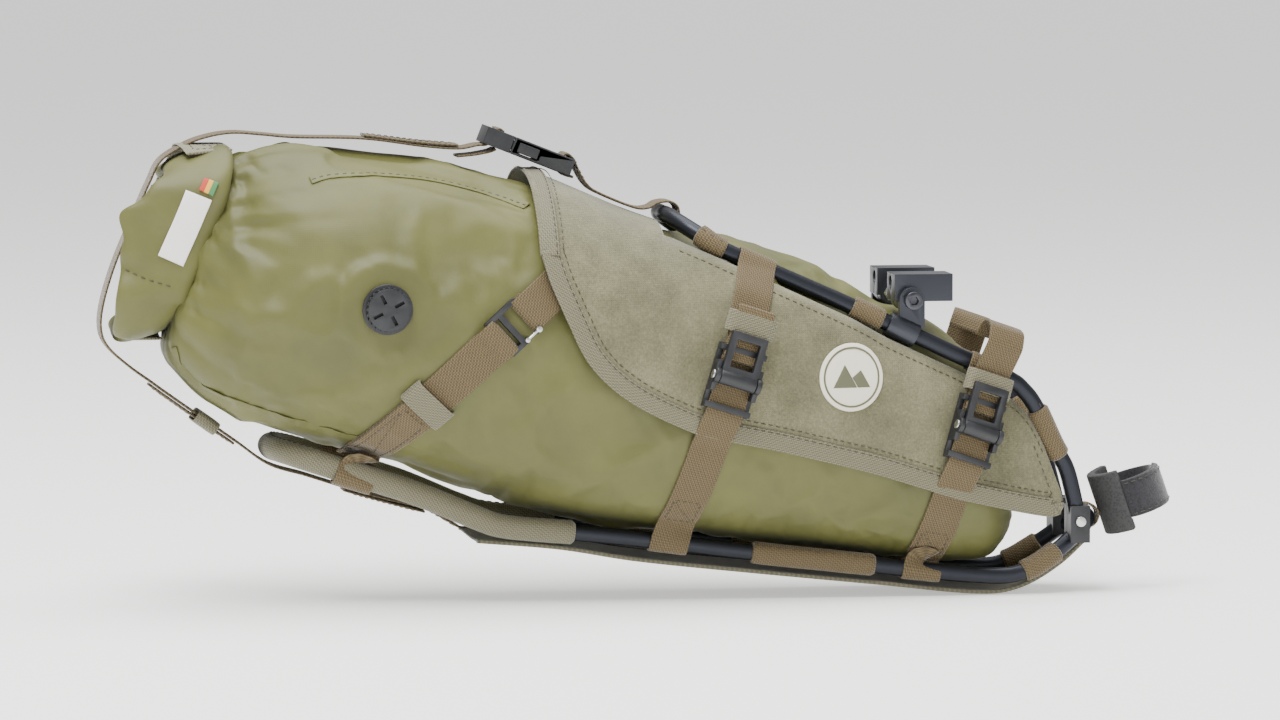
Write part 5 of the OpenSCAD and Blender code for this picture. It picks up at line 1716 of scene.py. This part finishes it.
@dataclass
class SeatpostEnd:
    """The hook-and-loop strap with its overlapping end, and the foam pad behind the post."""

    post_r: float = 13.6
    lean: float = 19.0
    wide: float = 20.0

    def turned(self, points: np.ndarray) -> np.ndarray:
        """Points from the post's upright frame to the bicycle's."""
        a = np.radians(-self.lean)
        x, y, z = points[..., 0], points[..., 1], points[..., 2]
        return np.stack([x * np.cos(a) + z * np.sin(a), y, -x * np.sin(a) + z * np.cos(a)], axis=-1)

    def build(self) -> None:
        """The strap as one strip wound a turn and a third, and the pad."""
        count = 240
        a = np.radians(np.linspace(-60, 420, count))
        share = np.linspace(0, 1, count)
        lift = smooth_step((share - 0.70) / 0.07) * 2.3
        r = self.post_r + 1.15 + lift + 0.9 * smooth_step((share - 0.985) / 0.015)
        turn = a - 0.7  # so that the strip ends behind the post
        line = np.stack([np.cos(turn) * r, np.sin(turn) * r, 0.12 * np.sin(3 * a)], axis=1)
        out = np.stack([np.cos(turn), np.sin(turn), np.zeros_like(a)], axis=1)
        strap = ribbon("post_strap", self.turned(line) * MM, self.turned(out), self.wide * MM, 2.1 * MM)
        dress(strap, HookAndLoop(), ROOT, ["seatpost_strap"])
        pad = rounded_copy("seatpost_pad", Foam(), ROOT, 1.2 * MM, 3)
        rows = []
        lap = slice(168, 232)  # where the strip lies on itself
        for z in (-8.2, 8.2):
            edge = np.stack([np.cos(turn[lap]) * (r[lap] + 1.05), np.sin(turn[lap]) * (r[lap] + 1.05),
                             np.full_like(r[lap], z)], axis=1)
            rows.append((self.turned(edge) * MM, self.turned(out[lap])))
        stitches("post_strap_stitching", rows)
        a = np.radians(np.linspace(0, 360, 73)[:-1])
        loop = np.stack([np.cos(a) * 6.05 - 24, np.zeros_like(a), np.sin(a) * 6.05 - 11], axis=1) * MM
        band = flat_loop("post_loop_webbing", loop, np.array([0.0, 1.0, 0.0]), 10 * MM, 1.2 * MM)
        dress(band, Webbing(), ROOT, ["front_webbing_loop"])


@dataclass
class Hardware:
    """The CAD's plastic and metal parts with broken edges and their real finishes."""

    nylon: Finish = MouldedNylon()
    clamp: Finish = AnodisedTube("satin_black_alloy", "clamp_black", "#3A3C42", 0.34)
    bolt: Finish = Metal("blackened_steel", "black_bolt", "#4A4B50", 0.3)
    steel: Finish = Metal()

    def build(self) -> None:
        """Every node by its body."""
        for side in Side:
            w = side.word
            for name, body, edge in ((f"rear_buckle_{w}", ROOT, 0.5), (f"front_buckle_{w}", ROOT, 0.5),
                                     (f"rear_lever_{w}", f"rear_lever_{w}", 0.6),
                                     (f"front_lever_{w}", f"front_lever_{w}", 0.6), (f"hook_buckle_{w}", ROOT, 0.7)):
                rounded_copy(name, self.nylon, body, edge * MM)
            for name, body, edge in ((f"tube_clamp_{w}", ROOT, 0.5), (f"outer_jaw_{w}", f"rail_jaws_{w}", 1.6),
                                     (f"inner_jaw_{w}", f"rail_jaws_{w}", 1.6)):
                rounded_copy(name, self.clamp, body, edge * MM, 3)
            rounded_copy(f"clamp_nut_{w}", self.steel, f"rail_jaws_{w}", 0.25 * MM)
            rounded_copy(f"clamp_bolt_{w}", self.bolt, f"clamp_bolt_{w}", 0.3 * MM)
            rounded_copy(f"hook_gate_{w}", self.steel, f"hook_gate_{w}", 0.2 * MM)
        for name in ("top_buckle_socket", "top_buckle_plug", "roll_buckle_socket", "roll_buckle_plug"):
            rounded_copy(name, self.nylon, ROOT, 0.9 * MM, 3)
        for name in ("top_prong_right", "top_prong_left", "roll_prong_upper", "roll_prong_lower", "valve_base",
                     "valve_cap", "joint_brackets"):
            body = ROOT if name in ("valve_base", "joint_brackets") else name
            rounded_copy(name, self.nylon, body, 0.35 * MM, 3)
        rounded_copy("cam_pins", self.steel, ROOT, 0.3 * MM)
        rounded_copy("joint_screws", self.steel, ROOT, 0.25 * MM)


# ---------------------------------------------------------------- studio


@dataclass
class Studio:
    """A pale paper floor, three soft lights and a long lens on the bag's right side."""

    target: tuple = (-0.257, 0.0, 0.072)
    azimuth: float = -9.0
    elevation: float = 4.5
    distance: float = 4.2
    seen_width: float = 0.655

    def build(self) -> None:
        """Floor, lights, world and camera."""
        self.floor()
        self.lamp("key", (-0.75, -0.75, 1.45), 0.8, 34.0)
        self.lamp("top", (-0.2, 0.3, 2.3), 2.2, 88.0)
        self.lamp("fill", (0.9, -2.1, 0.45), 1.6, 8.0)
        world = bpy.data.worlds.new("studio_world")
        world.use_nodes = True
        sky = world.node_tree.nodes["Background"]
        sky.inputs["Color"].default_value = (1.0, 1.0, 1.0, 1.0)
        sky.inputs["Strength"].default_value = 0.64
        bpy.context.scene.world = world
        self.camera()

    def floor(self) -> None:
        """A wide pale floor whose edge lies far behind the view."""
        low = float(CAD_BOX[0][2]) - 0.001
        across = np.linspace(-40.0, 40.0, 5)
        points = [(x, y, low) for y in across for x in across]
        sweep = make_piece("paper_floor", np.array(points), grid_faces(5, 5))
        paper = bpy.data.materials.new("matt_paper")
        paper.use_nodes = True
        shader = paper.node_tree.nodes["Principled BSDF"]
        shader.inputs["Base Color"].default_value = srgb("#F1F1EF")
        shader.inputs["Roughness"].default_value = 0.9
        shader.inputs["Emission Color"].default_value = (1.0, 1.0, 1.0, 1.0)
        shader.inputs["Emission Strength"].default_value = 0.55
        sweep.data.materials.append(paper)

    def lamp(self, name: str, place: tuple, size: float, watts: float) -> None:
        """A square soft light aimed at the bag."""
        data = bpy.data.lights.new(name, "AREA")
        data.size = size
        data.energy = watts
        lamp = bpy.data.objects.new(name, data)
        lamp.location = place
        lamp.rotation_euler = (Vector(self.target) - Vector(place)).to_track_quat("-Z", "Y").to_euler()
        bpy.context.scene.collection.objects.link(lamp)

    def camera(self) -> None:
        """A long lens at the bag's right side, a little to the rear and above."""
        turn, rise = np.radians(self.azimuth), np.radians(self.elevation)
        away = Vector((np.sin(turn) * np.cos(rise), -np.cos(turn) * np.cos(rise), np.sin(rise)))
        data = bpy.data.cameras.new("long_lens")
        data.sensor_width = 36.0
        data.lens = 36.0 * self.distance / self.seen_width
        data.clip_end = 30.0
        camera = bpy.data.objects.new("long_lens", data)
        camera.location = Vector(self.target) + away * self.distance
        camera.rotation_euler = (-away).to_track_quat("-Z", "Y").to_euler()
        bpy.context.scene.collection.objects.link(camera)
        bpy.context.scene.camera = camera


def main() -> None:
    """Builds the bag from the inside out, then the studio."""
    logging.basicConfig(level=logging.INFO, format="%(message)s")
    bag = DryBag()
    DRAPE.add(bag.build())
    bag.seams()
    Canvas().build()
    BaseSheet().build()
    Tubes().build()
    Emblem().build()
    Straps().build()
    RollTop().build()
    SeatpostEnd().build()
    Hardware().build()
    Studio().build()


if __name__ == "__main__":
    main()
